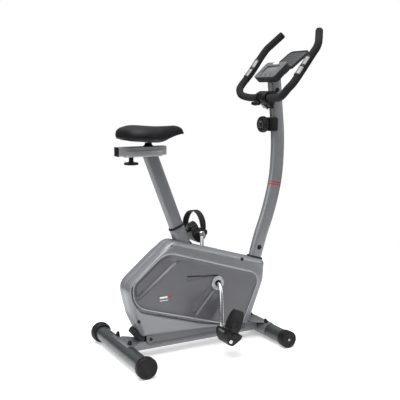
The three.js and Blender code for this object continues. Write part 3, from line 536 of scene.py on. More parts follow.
def plate(name, outline, low, high, bevel=0.0, axis="Y", segments=3):
    """A flat outline with a thickness along an axis, its edges rounded. For Y it is drawn in X, Z."""
    count = len(outline)
    if axis == "Y":
        verts = [(a, t, b) for t in (low, high) for a, b in outline]
    elif axis == "Z":
        verts = [(a, b, t) for t in (low, high) for a, b in outline]
    else:
        verts = [(t, a, b) for t in (low, high) for a, b in outline]
    faces = [tuple(range(count)), tuple(range(count, 2 * count))]
    faces += [(i, (i + 1) % count, count + (i + 1) % count, count + i) for i in range(count)]
    piece = mesh_piece(name, verts, faces)
    return rounded_off(piece, bevel, segments, 40) if bevel else piece


def block(name, low, high, bevel, segments=3):
    outline = [(low[0], low[2]), (high[0], low[2]), (high[0], high[2]), (low[0], high[2])]
    return plate(name, outline, low[1], high[1], bevel, segments=segments)


def rounded(corners, steps=8):
    """A closed outline; each corner is (x, y, radius) and turns on a smooth curve."""
    points = []
    for i, (x, y, radius) in enumerate(corners):
        here = Vector((x, y))
        back = (Vector(corners[i - 1][:2]) - here).normalized()
        ahead = (Vector(corners[(i + 1) % len(corners)][:2]) - here).normalized()
        reach = radius / math.tan(back.angle(ahead) / 2)
        start, end = here + back * reach, here + ahead * reach
        for k in range(steps + 1):
            t = k / steps
            points.append(tuple(start * (1 - t) ** 2 + here * (2 * t * (1 - t)) + end * t ** 2))
    return points


def smooth_step(low, high, value):
    t = np.clip((value - low) / (high - low), 0, 1)
    return t * t * (3 - 2 * t)


def middle_of(node):
    low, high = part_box(node)
    return (low + high) / 2


def half_of(node):
    low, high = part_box(node)
    return (high - low) / 2


def tilted(origin, direction):
    """A matrix that takes +Z on to a direction and the origin to a point."""
    turn = Vector((0, 0, 1)).rotation_difference(Vector(direction))
    return Matrix.Translation(origin) @ turn.to_matrix().to_4x4()


# ------------------------------------------------------------------ base, feet and bolts

def add_base():
    low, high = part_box("base_tube")
    middle = (low + high) / 2
    section = rounded_section(high.y - low.y, high.z - low.z, 0.005)
    path = [Vector((x, middle.y, middle.z)) for x in np.linspace(low.x, high.x, 12)]
    tube = painted(sweep("base_rail", section, path), PAINT)
    placed(tube, "frame", "silver_paint", "base_tube")


def foot_tube(node, name):
    middle, half = middle_of(node), half_of(node)
    radius, wall = half.z, 0.0025
    ends = [(radius - wall, -half.y), (radius, -half.y), (radius, half.y), (radius - wall, half.y)]
    tube = lathe(name, [*ends, ends[0]], middle, sides=96)
    placed(painted(tube, DARK_PAINT), "frame", "dark_paint", node)
    return middle, radius


def cap_nut(name, matrix):
    """A black domed nut cap on a bright washer."""
    disc = [(0, 0), (0.0105, 0), (0.0105, 0.0012), (0, 0.0012)]
    washer = lathe(name + "_washer", disc, (0, 0, 0), "Z", 40)
    profile = [(0, 0.0012), (0.0085, 0.0012), (0.0092, 0.0022), (0.0092, 0.0075), (0.0078, 0.0098),
               (0.0072, 0.0125), (0.0060, 0.0170), (0.0036, 0.0198), (0, 0.0205)]
    dome = lathe(name + "_dome", profile, (0, 0, 0), "Z", 40)
    nut = joined(name, painted(washer, STEEL), painted(dome, BLACK_SATIN))
    placed(moved(nut, matrix), "frame", "black_plastic")


def add_cradle(node, name, axis, radius, facing, bolt_lean):
    """The rolled plate over a stabilizer tube, its flared gusset on the base tube and two cap nuts."""
    low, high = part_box(node)
    thick, gap = 0.003, 0.00035
    shell = radius + gap
    wrap = []
    for offset in (shell, shell + thick):
        turns = np.radians(np.linspace(-20, 112, 30))
        wrap.append([(axis.x + facing * offset * math.cos(t), axis.z + offset * math.sin(t))
                     for t in turns])
    outline = wrap[1] + wrap[0][::-1]
    sheet = plate(name + "_wrap", outline, low.y, high.y, 0.0011)
    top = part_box("base_tube")[1].z + gap
    start = math.sqrt((shell + thick) ** 2 - (top - axis.z) ** 2) - 0.0025
    reach, flare, half = 0.062, 0.066, half_of("base_tube").y
    corners = [(start, -flare, 0.004), (start + 0.010, -flare, 0.004), (start + reach, -half, 0.010),
               (start + reach, half, 0.010), (start + 0.010, flare, 0.004), (start, flare, 0.004)]
    gusset = plate(name + "_gusset", rounded(corners, 5), top, top + thick, 0.0011, "Z")
    gusset.data.transform(Matrix.Translation((axis.x, 0, 0)) @ Matrix.Diagonal((facing, 1, 1, 1)))
    shaded(gusset)
    weld_at = axis.x + facing * (start + reach)
    beads = []
    for y in np.linspace(-half + 0.003, half - 0.003, 17):
        beads.append(Vector((weld_at + facing * 0.0006, y, top + 0.0012)))
    sizes = [1 + 0.22 * math.sin(2.2 * i) for i in range(17)]
    weld = sweep(name + "_weld", round_section(0.0022, 12), beads, (1, 0, 0), sizes=sizes)
    cradle = joined(name, *(painted(p, PAINT) for p in (sheet, gusset, weld)))
    placed(cradle, "frame", "silver_paint", node)
    lean = math.radians(bolt_lean) * facing
    out = Vector((math.sin(lean), 0, math.cos(lean)))
    for side, sign in SIDES:
        at = Vector((axis.x, sign * 0.062, axis.z)) + out * (shell + thick - 0.0004)
        cap_nut(f"{name}_nut_{side}", tilted(at, out))


def add_feet():
    rear, rear_radius = foot_tube("rear_stabilizer", "rear_foot_tube")
    front, front_radius = foot_tube("front_stabilizer", "front_foot_tube")
    add_cradle("rear_cradle", "rear_saddle_plate", rear, rear_radius, 1, 10)
    add_cradle("front_cradle", "front_saddle_plate", front, front_radius, -1, 18)
    for side, sign in SIDES:
        middle, half = middle_of(f"rear_cap_{side}"), half_of(f"rear_cap_{side}")
        outer, mouth, r = half.y, -half.y, half.z
        profile = [
            (0, outer - 0.0022), (0.012, outer - 0.0022), (0.013, outer - 0.0012), (0.0145, outer - 0.0012),
            (0.0155, outer - 0.0022), (r - 0.012, outer - 0.0022), (r - 0.0105, outer - 0.0004),
            (r - 0.006, outer), (r - 0.0035, outer - 0.0009), (r - 0.0012, outer - 0.003),
            (r, outer - 0.0065), (r, mouth + 0.016), (r - 0.0008, mouth + 0.012),
            (r - 0.0036, mouth + 0.0045),
            (r - 0.0058, mouth + 0.001), (r - 0.0085, mouth), (rear_radius + 0.0003, mouth),
            (rear_radius + 0.0003, mouth + 0.004), (0, mouth + 0.004),
        ]
        cap = lathe(f"rear_foot_cap_{side}", mirrored(profile, sign), middle, sides=96,
                    wave=lambda turn, offset: 1 - 0.006 * max(0, math.cos(24 * turn)) ** 6)
        placed(painted(cap, BLACK), "frame", "black_plastic", f"rear_cap_{side}")
        add_front_end(side, sign, front_radius)


def add_front_end(side, sign, tube_radius):
    collar, half = middle_of(f"front_collar_{side}"), half_of(f"front_collar_{side}")
    wheel, wheel_half = middle_of(f"transport_wheel_{side}"), half_of(f"transport_wheel_{side}")
    r, mouth = half.z, -half.y
    face = abs(wheel.y) - abs(collar.y) - wheel_half.y - 0.0006
    profile = [
        (0, face), (r - 0.003, face), (r - 0.0008, face - 0.001), (r, face - 0.003), (r, mouth + 0.008),
        (r - 0.0014, mouth + 0.003), (r - 0.0022, mouth), (tube_radius + 0.0003, mouth),
        (tube_radius + 0.0003, mouth + 0.003), (0, mouth + 0.003),
    ]
    piece = lathe(f"front_end_collar_{side}", mirrored(profile, sign), collar, sides=96)
    placed(painted(piece, BLACK), "frame", "black_plastic", f"front_collar_{side}")
    w, r = wheel_half.y, wheel_half.z
    tread = [(0.006, -w), (r - 0.003, -w), (r - 0.0006, -w + 0.0008), (r, -w + 0.0025)]
    for groove in (-0.0045, 0.0, 0.0045):
        tread += [(r, groove - 0.0011), (r - 0.0012, groove - 0.0005), (r - 0.0012, groove + 0.0005),
                  (r, groove + 0.0011)]
    tread += [(r, w - 0.0035), (r - 0.0012, w - 0.0012), (r - 0.004, w - 0.0002), (r - 0.009, w),
              (r - 0.010, w - 0.0016), (0.014, w - 0.0022), (0.0128, w - 0.0006), (0.0085, w - 0.0002),
              (0.0072, w - 0.0014), (0.006, w - 0.0014), (0.006, -w)]
    piece = lathe(f"roller_{side}", mirrored(tread, sign), wheel, sides=96)
    placed(painted(piece, BLACK), f"wheel_{side}_body", "black_plastic", f"transport_wheel_{side}")
    pin = lathe(f"roller_pin_{side}", [(0, sign * (w - 0.004)), (0.0052, sign * (w - 0.004)),
                                       (0.0052, sign * (w - 0.0012)), (0.0040, sign * (w - 0.0003)),
                                       (0, sign * (w - 0.0001))], wheel, sides=40)
    placed(painted(pin, STEEL), "frame", "black_plastic")


# ------------------------------------------------------------------ mast

MAST_POINTS = [
    (0.2106, 0, 0.332), (0.218, 0, 0.356), (0.2455, 0, 0.447), (0.277, 0, 0.533), (0.303, 0, 0.620),
    (0.321, 0, 0.707), (0.3285, 0, 0.816), (0.327, 0, 0.903), (0.319, 0, 0.989), (0.309, 0, 1.095),
    (0.3015, 0, 1.170),
]
MAST_PATH = spline(MAST_POINTS, 240)
MAST_WIDE, MAST_DEEP = 0.035, 0.062
BOLT_HEIGHT, MOUTH_HEIGHT, GROMMET_HEIGHT = 0.396, 0.352, 1.0745
STRIPE_HEIGHTS = (0.6685, 0.678)


def mast_frame(height):
    """A point on the mast's axis at a height, and the direction the mast runs there."""
    i = min(range(1, len(MAST_PATH) - 1), key=lambda k: abs(MAST_PATH[k].z - height))
    return MAST_PATH[i], (MAST_PATH[i + 1] - MAST_PATH[i - 1]).normalized()


def add_mast():
    section = rounded_section(MAST_WIDE, MAST_DEEP, MAST_WIDE / 2 - 0.0002, 12)
    tube = sweep("mast_tube", section, stretch(MAST_PATH, 0.004, 0.955, 150))
    placed(painted(tube, MAST_PAINT), "frame", "silver_paint", "mast")

    at, _ = mast_frame(BOLT_HEIGHT)
    socket = [(0, 0.0042), (0.0028, 0.0042), (0.0034, 0.0064), (0.0062, 0.0066), (0.0072, 0.0056),
              (0.0076, 0.0008), (0.0105, 0.0004), (0.0108, -0.0006), (0, -0.0006)]
    for side, sign in SIDES:
        bolt = lathe(f"mast_bolt_{side}", mirrored(socket, sign),
                     at + Vector((0, sign * MAST_WIDE / 2, 0)), sides=40)
        placed(painted(bolt, BLACK_SATIN), "frame", "black_plastic")

    foot, ahead = mast_frame(MOUTH_HEIGHT)
    ring = rounded_section(MAST_WIDE + 0.010, MAST_DEEP + 0.010, MAST_WIDE / 2, 12)
    steps = [(-0.016, 1.0), (0.0, 1.0), (0.0035, 0.97), (0.005, 0.9)]
    gasket = stepped("mast_gasket", ring, foot, ahead, steps)
    placed(painted(gasket, CHARCOAL), "frame", "black_plastic")

    for k, height in enumerate(STRIPE_HEIGHTS):
        at, ahead = mast_frame(height)
        band = rounded_section(MAST_WIDE + 0.0005, MAST_DEEP + 0.0005, MAST_WIDE / 2, 12)
        stripe = sweep(f"mast_stripe_{k + 1}", band, [at - ahead * 0.0022, at + ahead * 0.0022])
        placed(painted(stripe, RED), "frame", "silver_paint")

    grommet_at, _ = mast_frame(GROMMET_HEIGHT)
    boss = [(0, 0.004), (0.0035, 0.004), (0.0045, 0.0052), (0.0075, 0.0048), (0.0095, 0.002),
            (0.0098, -0.001), (0, -0.001)]
    piece = lathe("cable_grommet", mirrored(boss, -1),
                  grommet_at + Vector((0.001, -MAST_WIDE / 2, 0)), sides=40)
    placed(painted(piece, BLACK_SATIN), "frame", "black_plastic")


def add_tension_control():
    low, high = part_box("tension_box")
    outline = rounded([(low.x, low.z, 0.006), (high.x, low.z, 0.010), (high.x, high.z, 0.010),
                       (low.x, high.z, 0.006)])
    body = plate("tension_housing", outline, low.y, high.y, 0.0045, segments=4)
    x0, x1, z0, z1 = low.x + 0.007, high.x - 0.012, low.z + 0.007, high.z - 0.007
    lid_outline = rounded([(x0, z0, 0.006), (x1, z0, 0.006), (x1, z1, 0.006), (x0, z1, 0.006)])
    lid = plate("tension_lid", lid_outline, low.y - 0.0008, low.y + 0.004, 0.0007)
    housing = joined("tension_unit", painted(body, BLACK), painted(lid, BLACK))
    placed(housing, "frame", "black_plastic", "tension_box")

    low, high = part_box("tension_knob")
    z, rear = middle_of("tension_knob").z, low.x
    depth = high.x - rear

    def grip(turn, offset):
        bite = max(0.0, math.cos(18 * turn)) ** 2
        return 1 - (0.035 * bite if 0.004 < offset < 0.019 else 0)

    profile = [(0, 0.0012), (0.0245, 0.0012), (0.0258, 0.0), (0.0292, 0.0), (0.0325, 0.0016),
               (0.0345, 0.0050), (0.0352, 0.0090), (0.0352, 0.0160), (0.0340, 0.0195), (0.0300, 0.0212),
               (0.019, 0.0216), (0.016, 0.0226),
               (0.016, depth), (0, depth)]
    knob = painted(lathe("tension_dial_body", profile, (rear, 0, z), "X", 144, wave=grip), BLACK)
    marks = []
    for k in range(8):
        turn = math.radians(-135 + 270 * k / 7 + 90)
        at = Vector((rear + 0.0006, 0.0185 * math.cos(turn), z + 0.0185 * math.sin(turn)))
        tick = block(f"tick_{k}", (-0.0006, -0.0008, -0.0026), (0.0006, 0.0008, 0.0026), 0.0002, 1)
        moved(tick, Matrix.Translation(at) @ Matrix.Rotation(turn - math.pi / 2, 4, "X"))
        marks.append(painted(tick, GREY))
    pointer = [(0.0, 0.0135), (0.0042, 0.0072), (-0.0042, 0.0072)]
    arrow = plate("dial_arrow", pointer, -0.0005, 0.0006, axis="X")
    marks.append(painted(moved(arrow, Matrix.Translation((rear + 0.0008, 0, z))), GREY))
    rim = [(0.0128, 0.0009), (0.0140, 0.0004), (0.0146, 0.0009), (0.0137, 0.0016), (0.0128, 0.0009)]
    ring = lathe("dial_ring", rim, (rear, 0, z), "X", 72)
    marks.append(painted(ring, GREY))
    placed(joined("tension_dial", knob, *marks), "tension_knob_body", "black_plastic", "tension_knob")

    route = spline([(0.325, 0, 0.900), (0.327, 0, 0.860), (0.326, 0, 0.760), (0.316, 0, 0.680),
                    (0.301, 0, 0.610), (0.275, 0, 0.525), (0.262, 0, 0.480)], 60)
    cable = sweep("brake_cable", round_section(0.002, 12), route)
    placed(painted(cable, RUBBER), "frame", "strap_rubber", "tension_cable")


# ------------------------------------------------------------------ housing

HUB_Z = middle_of("crank_ring_right").z
RIM_CORNERS = [
    (-0.409, 0.302, 0.062), (-0.384, 0.185, 0.060), (-0.342, 0.091, 0.024), (0.165, 0.074, 0.024),
    (0.238, 0.260, 0.060), (0.246, 0.342, 0.024), (-0.206, 0.475, 0.056),
]
PANEL_CORNERS = [
    (-0.383, 0.3135, 0.050), (-0.383, 0.222, 0.085), (0.041, 0.090, 0.040), (0.129, 0.093, 0.024),
    (0.214, 0.288, 0.050), (-0.2385, 0.4314, 0.085),
]
WALL_HALF, RIDGE_HALF, FACE_HALF = 0.026, 0.0550, 0.0524
SHOULDER_REACH = 0.026
CHANNEL_WIDE, CHANNEL_DEEP = 0.0175, 0.0100


def dense(outline, pitch=0.002):
    """The outline closed and filled in with points a pitch apart."""
    points = []
    for i, corner in enumerate(outline):
        a, b = Vector(outline[i - 1]), Vector(corner)
        count = max(1, int((b - a).length / pitch))
        points += [tuple(a.lerp(b, k / count)) for k in range(count)]
    return np.array(points)


class Outline:
    """A closed outline seen from the crank axis, as a radius for each direction."""

    def __init__(self, corners):
        self.points = dense(rounded(corners, 14))
        offsets = self.points - np.array([0, HUB_Z])
        turns = np.arctan2(offsets[:, 1], offsets[:, 0])
        order = np.argsort(turns)
        self.turns = turns[order]
        self.radii = np.hypot(offsets[:, 0], offsets[:, 1])[order]

    def radius(self, turns):
        return np.interp(turns, self.turns, self.radii, period=2 * math.pi)

    def slant(self, turns):
        """How much longer a radial step is than a step square to the outline."""
        step = 0.004
        slope = (self.radius(turns + step) - self.radius(turns - step)) / (2 * step)
        return np.sqrt(1 + (slope / self.radius(turns)) ** 2)

    def distance(self, x, z):
        """Distance from points to the outline and the outward direction's x and z there."""
        near, nx, nz = np.empty(len(x)), np.empty(len(x)), np.empty(len(x))
        ahead = np.roll(self.points, -3, 0) - np.roll(self.points, 3, 0)
        if np.sum(self.points[:, 0] * np.roll(self.points[:, 1], -1)
                  - np.roll(self.points[:, 0], -1) * self.points[:, 1]) < 0:
            ahead = -ahead
        normal = np.stack([ahead[:, 1], -ahead[:, 0]], 1)
        normal /= np.linalg.norm(normal, axis=1)[:, None]
        for start in range(0, len(x), 2000):
            part = slice(start, start + 2000)
            across, up = x[part, None] - self.points[None, :, 0], z[part, None] - self.points[None, :, 1]
            gaps = across ** 2 + up ** 2
            best = gaps.argmin(1)
            near[part] = np.sqrt(gaps[np.arange(len(best)), best])
            nx[part], nz[part] = normal[best, 0], normal[best, 1]
        return near, nx, nz


RIM, PANEL = Outline(RIM_CORNERS), Outline(PANEL_CORNERS)


def along_line(x, z, start, end):
    """Share of the way along a line, and distance to its left, for each point."""
    start, end = np.array(start), np.array(end)
    line = end - start
    span = math.hypot(*line)
    share = ((x - start[0]) * line[0] + (z - start[1]) * line[1]) / span ** 2
    left = ((z - start[1]) * line[0] - (x - start[0]) * line[1]) / span
    return share, left


def panel_relief(x, z, from_ridge):
    """How deep the pressed features inside the ridge lie below the panel's face."""
    depth = 0.0008 * smooth_step(0.0, 0.02, from_ridge)

    share, left = along_line(x, z, (-0.359, 0.247), (-0.181, 0.389))
    ends = smooth_step(-0.04, 0.06, share) * (1 - smooth_step(0.90, 1.02, share))
    facet = 0.015 * (1 - 0.45 * share)
    pocket = smooth_step(0.0, 1.0, left / np.maximum(facet, 0.002)) * smooth_step(0.004, 0.022, from_ridge)
    depth = depth + 0.0085 * ends * pocket
    lip = np.exp(-((left + 0.002) / 0.0036) ** 2) * ends
    depth = depth - 0.0022 * lip

    share, left = along_line(x, z, (-0.143, 0.319), (0.0, 0.3075))
    across = smooth_step(0.0, 0.02, share) * (1 - smooth_step(0.97, 1.06, share))
    wide = 0.021 * (1 - 0.9 * share)
    wedge = smooth_step(-0.0014, 0.0014, -left) * (1 - smooth_step(wide - 0.003, wide + 0.003, -left))
    depth = depth + 0.0045 * across * wedge
    groove = np.exp(-(left / 0.0022) ** 2)
    depth = depth + 0.0040 * across * groove

    share, left = along_line(x, z, (-0.097, 0.150), (-0.012, 0.243))
    within = smooth_step(-0.04, 0.02, share) * (1 - smooth_step(0.97, 1.05, share))
    crease = np.exp(-(left / 0.0022) ** 2)
    hollow = smooth_step(0.001, 0.010, -left) * (1 - smooth_step(0.020, 0.075, -left))
    hollow_left = smooth_step(0.001, 0.008, left) * (1 - smooth_step(0.010, 0.045, left))
    depth = depth - 0.0020 * within * crease + within * (0.0060 * hollow + 0.0055 * hollow_left)
    return depth


def outside_height(from_ridge, nx, nz, gap):
    """The band between the ridge and the shoulder: a slope with a channel at the rear and below."""
    height = RIDGE_HALF - 0.0022 - 0.0036 * smooth_step(0.0, 0.040, from_ridge)
    rear_or_below = (1 - smooth_step(0.15, 0.62, nz)) * (1 - smooth_step(-0.05, 0.45, nx))
    share = from_ridge / np.maximum(gap, 0.001)
    channel = smooth_step(0.10, 0.34, share) * (1 - smooth_step(0.66, 1.0, share))
    channel = channel * smooth_step(0.002, 0.009, gap)
    return height - CHANNEL_DEEP * rear_or_below * channel


def cover_side(sign):
    """One half of the housing as rings of points from the seam in to the crank hole."""
    pitch = dense(rounded(PANEL_CORNERS, 24), 0.0026) - np.array([0, HUB_Z])
    turns = np.arctan2(pitch[:, 1], pitch[:, 0])
    rim, slant = RIM.radius(turns), RIM.slant(turns)
    ridge, ridge_slant = PANEL.radius(turns), PANEL.slant(turns)
    hole = half_of("crank_ring_right").z - 0.0035
    reach = np.minimum(SHOULDER_REACH, 0.58 * (rim - ridge) / slant)
    radii, kinds = [], []
    for inset in (0.0011, 0.0, 0.0, 0.0, 0.0):
        radii.append(rim - inset * slant)
        kinds.append("wall")
    for k in range(1, 11):
        radii.append(rim - reach * (1 - math.cos(math.radians(9 * k))) * slant)
        kinds.append("shoulder")
    gap = np.minimum(CHANNEL_WIDE, 0.96 * (radii[-1] - ridge) / ridge_slant)
    band_start = radii[-1]
    band_end = ridge + gap * ridge_slant
    for k in range(1, 10):
        radii.append(band_start + (band_end - band_start) * k / 9)
        kinds.append("band")
    for share in (0.92, 0.83, 0.74, 0.66, 0.56, 0.46, 0.36, 0.28, 0.20, 0.14, 0.07, 0):
        radii.append(ridge + share * gap * ridge_slant)
        kinds.append("band")
    for offset in (0.0013, 0.0026, 0.004, 0.0056, 0.008, 0.011, 0.0145):
        radii.append(ridge - offset * ridge_slant)
        kinds.append("panel")
    inner = radii[-1]
    for k in range(1, 131):
        radii.append(inner + (hole - inner) * k / 130)
        kinds.append("panel")
    radii = np.array(radii)
    x = radii * np.cos(turns)
    z = radii * np.sin(turns) + HUB_Z
    near, nx, nz = PANEL.distance(x.ravel(), z.ravel())
    near, nx, nz = (a.reshape(x.shape) for a in (near, nx, nz))
    bead = 0.0032 * np.exp(-(near / 0.0034) ** 2)
    inside = FACE_HALF - panel_relief(x, z, near) + bead + 0.0004 * (1 - smooth_step(0, 0.012, near))
    outside = outside_height(near, nx, nz, gap) + bead
    shoulder_top = outside[14]
    y = np.empty_like(x)
    wall = iter((0.00045, 0.0018, 0.010, 0.020, WALL_HALF))
    arc = iter(range(1, 11))
    for i, kind in enumerate(kinds):
        if kind == "wall":
            y[i] = next(wall)
        elif kind == "shoulder":
            y[i] = WALL_HALF + (shoulder_top - WALL_HALF) * math.sin(math.radians(9 * next(arc)))
        else:
            y[i] = inside[i] if kind == "panel" else outside[i]
    lip = hole - 0.0012
    depth = np.full(len(turns), FACE_HALF - 0.006)
    edge = np.stack([lip * np.cos(turns), depth, lip * np.sin(turns) + HUB_Z], 1)
    rings = [np.stack([x[i], y[i], z[i]], 1) for i in range(len(kinds))] + [edge]
    return [[Vector((a, sign * b, c)) for a, b, c in ring] for ring in rings]


def screw(name, at, sign, radius=0.0058):
    """A recessed black screw head with a round dip at its centre."""
    profile = [(0, 0.0), (radius * 0.35, 0.0), (radius * 0.42, 0.0012), (radius * 0.8, 0.0016),
               (radius, 0.0011), (radius * 1.25, 0.0008), (radius * 1.32, -0.002), (0, -0.002)]
    head = lathe(name, mirrored(profile, sign), at, sides=32)
    placed(painted(head, BLACK_SATIN), "frame", "black_plastic")


def add_housing():
    for side, sign in SIDES:
        shell = skin(f"{side}_shell_face", cover_side(sign), 50, caps=False)
        low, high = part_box(f"{side}_cover")
        inner, outer = 0.0296, 0.0352
        skirt_outline = rounded([(-0.306, low.z, 0.006), (0.150, low.z, 0.006), (0.150, 0.092, 0.003),
                                 (-0.322, 0.104, 0.003), (-0.318, 0.066, 0.012)])
        skirt = plate(f"{side}_skirt", skirt_outline, *sorted((sign * inner, sign * outer)), 0.0016)
        lip_outline = rounded([(-0.300, low.z, 0.003), (0.146, low.z, 0.003), (0.146, low.z + 0.010, 0.003),
                               (-0.296, low.z + 0.010, 0.003)])
        lip = plate(f"{side}_lip", lip_outline, *sorted((sign * inner, sign * (outer + 0.0018))), 0.0012)
        shells = [painted(p, COVER) for p in (shell, skirt, lip)]
        for p in (skirt, lip):
            painted(p, PANEL_PAINT)
        shell.data.materials.append(RIDGE_HIGHLIGHT_PAINT)
        shell.data.materials.append(PANEL_PAINT)
        # Faces on the ridge bead take the lighter lacquer, a painted highlight along the ridge; faces
        # inside it take the darker panel lacquer, the rest the cover lacquer.
        for face in shell.data.polygons:
            x, _, z = face.center
            turn = math.atan2(z - HUB_Z, x)
            outward = (math.hypot(x, z - HUB_Z) - float(PANEL.radius(turn))) / float(PANEL.slant(turn))
            face.material_index = 2 if outward < -0.0026 else 1 if outward < 0.0016 else 0
        cover = joined(f"{side}_shell", *shells)
        placed(cover, "frame", "cover_plastic", f"{side}_cover")
        screws = ((-0.2085, 0.449, 0.0460), (0.123, 0.362, 0.0485), (-0.357, 0.160, 0.0475),
                  (0.166, 0.150, 0.0475), (-0.300, 0.074, outer))
        for k, (x, z, y) in enumerate(screws):
            screw(f"cover_screw_{side}_{k + 1}", (x, sign * y, z), sign)

        node = f"crank_ring_{side}"
        middle, half = middle_of(node), half_of(node)
        face = abs(middle.y) + half.y
        ring = [(0.0135, face - 0.004), (0.0150, face - 0.0012), (0.0175, face - 0.0002), (0.0240, face),
                (0.0268, face - 0.0012), (half.z, face - 0.0030), (half.z, face - 0.0068),
                (0.0135, face - 0.0068), (0.0135, face - 0.004)]
        piece = lathe(f"crank_collar_{side}", mirrored(ring, sign), (0, 0, middle.z), sides=96)
        placed(painted(piece, BRIGHT_PAINT), "frame", "grey_plastic", node)
        seal = [(0.0098, face - 0.0075), (0.0134, face - 0.0070), (0.0134, face - 0.0045),
                (0.0098, face - 0.0050), (0.0098, face - 0.0075)]
        piece = lathe(f"crank_seal_{side}", mirrored(seal, sign), (0, 0, middle.z), sides=48)
        placed(painted(piece, BLACK), "frame", "black_plastic")

    low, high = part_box("tail_cap")
    outline = rounded([(-0.374, 0.104, 0.006), (-0.363, 0.121, 0.005), (-0.350, 0.121, 0.004),
                       (-0.340, 0.096, 0.012), (-0.321, 0.090, 0.003), (-0.321, low.z, 0.003),
                       (-0.346, low.z, 0.008)], 5)
    tail = plate("tail_block", outline, low.y, high.y, 0.004)
    placed(painted(tail, CHARCOAL), "frame", "black_plastic", "tail_cap")

    for name, material, x, z, wide, tall in (("label_bar", PALE, -0.250, 0.246, 0.034, 0.0075),
                                             ("label_line", PALE, -0.248, 0.2335, 0.038, 0.0028),
                                             ("label_mark", RED, -0.219, 0.246, 0.014, 0.0075)):
        face = -(FACE_HALF - 0.0006)
        outline = rounded([(x - wide / 2, z - tall / 2, 0.001), (x + wide / 2, z - tall / 2, 0.001),
                           (x + wide / 2, z + tall / 2, 0.001), (x - wide / 2, z + tall / 2, 0.001)], 3)
        label = plate(name, outline, face - 0.0002, face + 0.0008)
        placed(painted(label, material), "frame", "cover_plastic")


# ------------------------------------------------------------------ seat tube, post and slider

SEAT_MOUTH = Vector((-0.1636, 0, 0.5175))
SEAT_LEAN = math.radians(21.06)
UP_POST = Vector((-math.sin(SEAT_LEAN), 0, math.cos(SEAT_LEAN)))
PIN_OUT = Vector((math.cos(SEAT_LEAN), 0, math.sin(SEAT_LEAN)))
PIN_DROP = 0.035
HOLE_PITCH, HOLE_RADIUS, HOLE_COUNT = 0.025, 0.0046, 8
PILLAR, POST = (0.037, 0.068), (0.030, 0.061)


def seat_line(start, end, count):
    return [SEAT_MOUTH + UP_POST * t for t in np.linspace(start, end, count)]


def oval(wide, deep):
    return rounded_section(wide, deep, wide / 2 - 0.0002, 12)


def add_seat_tube():
    tube = sweep("seat_pillar", oval(*PILLAR), seat_line(-0.480, 0, 40))
    tube = rounded_off(tube, 0.0012, 2, 50)
    placed(painted(tube, PAINT), "frame", "silver_paint", "seat_tube")
    steps = [(0.0004, 1.0), (0.0050, 1.0), (0.0068, 0.975), (0.0074, 0.93)]
    collar = stepped("post_sleeve", oval(0.0392, 0.0702), SEAT_MOUTH, UP_POST, steps)
    placed(painted(collar, BLACK), "frame", "black_plastic", "post_bushing")
    foot = SEAT_MOUTH - UP_POST * 0.086
    steps = [(-0.014, 1.0), (0.0, 1.0), (0.003, 0.975), (0.0042, 0.93)]
    gasket = stepped("pillar_gasket", oval(0.044, 0.075), foot, UP_POST, steps)
    placed(painted(gasket, CHARCOAL), "frame", "black_plastic")


def add_seat_post():
    low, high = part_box("seat_post")
    top = (high.z - SEAT_MOUTH.z) / UP_POST.z
    post = sweep("seat_post_tube", oval(*POST), seat_line(-0.190, top + 0.030, 40))
    above = block("above_post", (low.x - 0.05, low.y - 0.05, high.z - 0.0001),
                  (high.x + 0.05, high.y + 0.05, high.z + 0.1), 0.0002, 1)
    drills = []
    hole = [(0, 0), (HOLE_RADIUS, 0), (HOLE_RADIUS, 0.012), (0, 0.012)]
    for k in range(HOLE_COUNT):
        at = SEAT_MOUTH + UP_POST * ((k - 1) * HOLE_PITCH - PIN_DROP) + PIN_OUT * 0.0245
        drill = lathe(f"drill_{k}", hole, (0, 0, 0), "Z", 24)
        drills.append(moved(drill, tilted(at, PIN_OUT)))
    post = carved(painted(post, PAINT), above, *drills)
    placed(post, "seat_post_body", "silver_paint", "seat_post")


def add_pin_knob():
    def ribs(turn, offset):
        bite = max(0.0, math.cos(10 * turn))
        return 1 - (0.11 * bite if 0.049 < offset < 0.081 else 0)

    profile = [(0, 0.0312), (0.004, 0.0312), (0.004, 0.0350), (0.009, 0.0350), (0.009, 0.0462),
               (0.0125, 0.0475), (0.0235, 0.0480), (0.0262, 0.0500), (0.0270, 0.0530),
               (0.0270, 0.0775), (0.0262, 0.0800), (0.0236, 0.0818), (0.012, 0.0820),
               (0.0105, 0.0806), (0, 0.0806)]
    piece = lathe("pin_knob", profile, (0, 0, 0), "Z", 160, wave=ribs)
    moved(piece, tilted(SEAT_MOUTH - UP_POST * PIN_DROP, PIN_OUT))
    placed(painted(piece, BLACK), "seat_pin_body", "black_plastic", "seat_pin_knob")


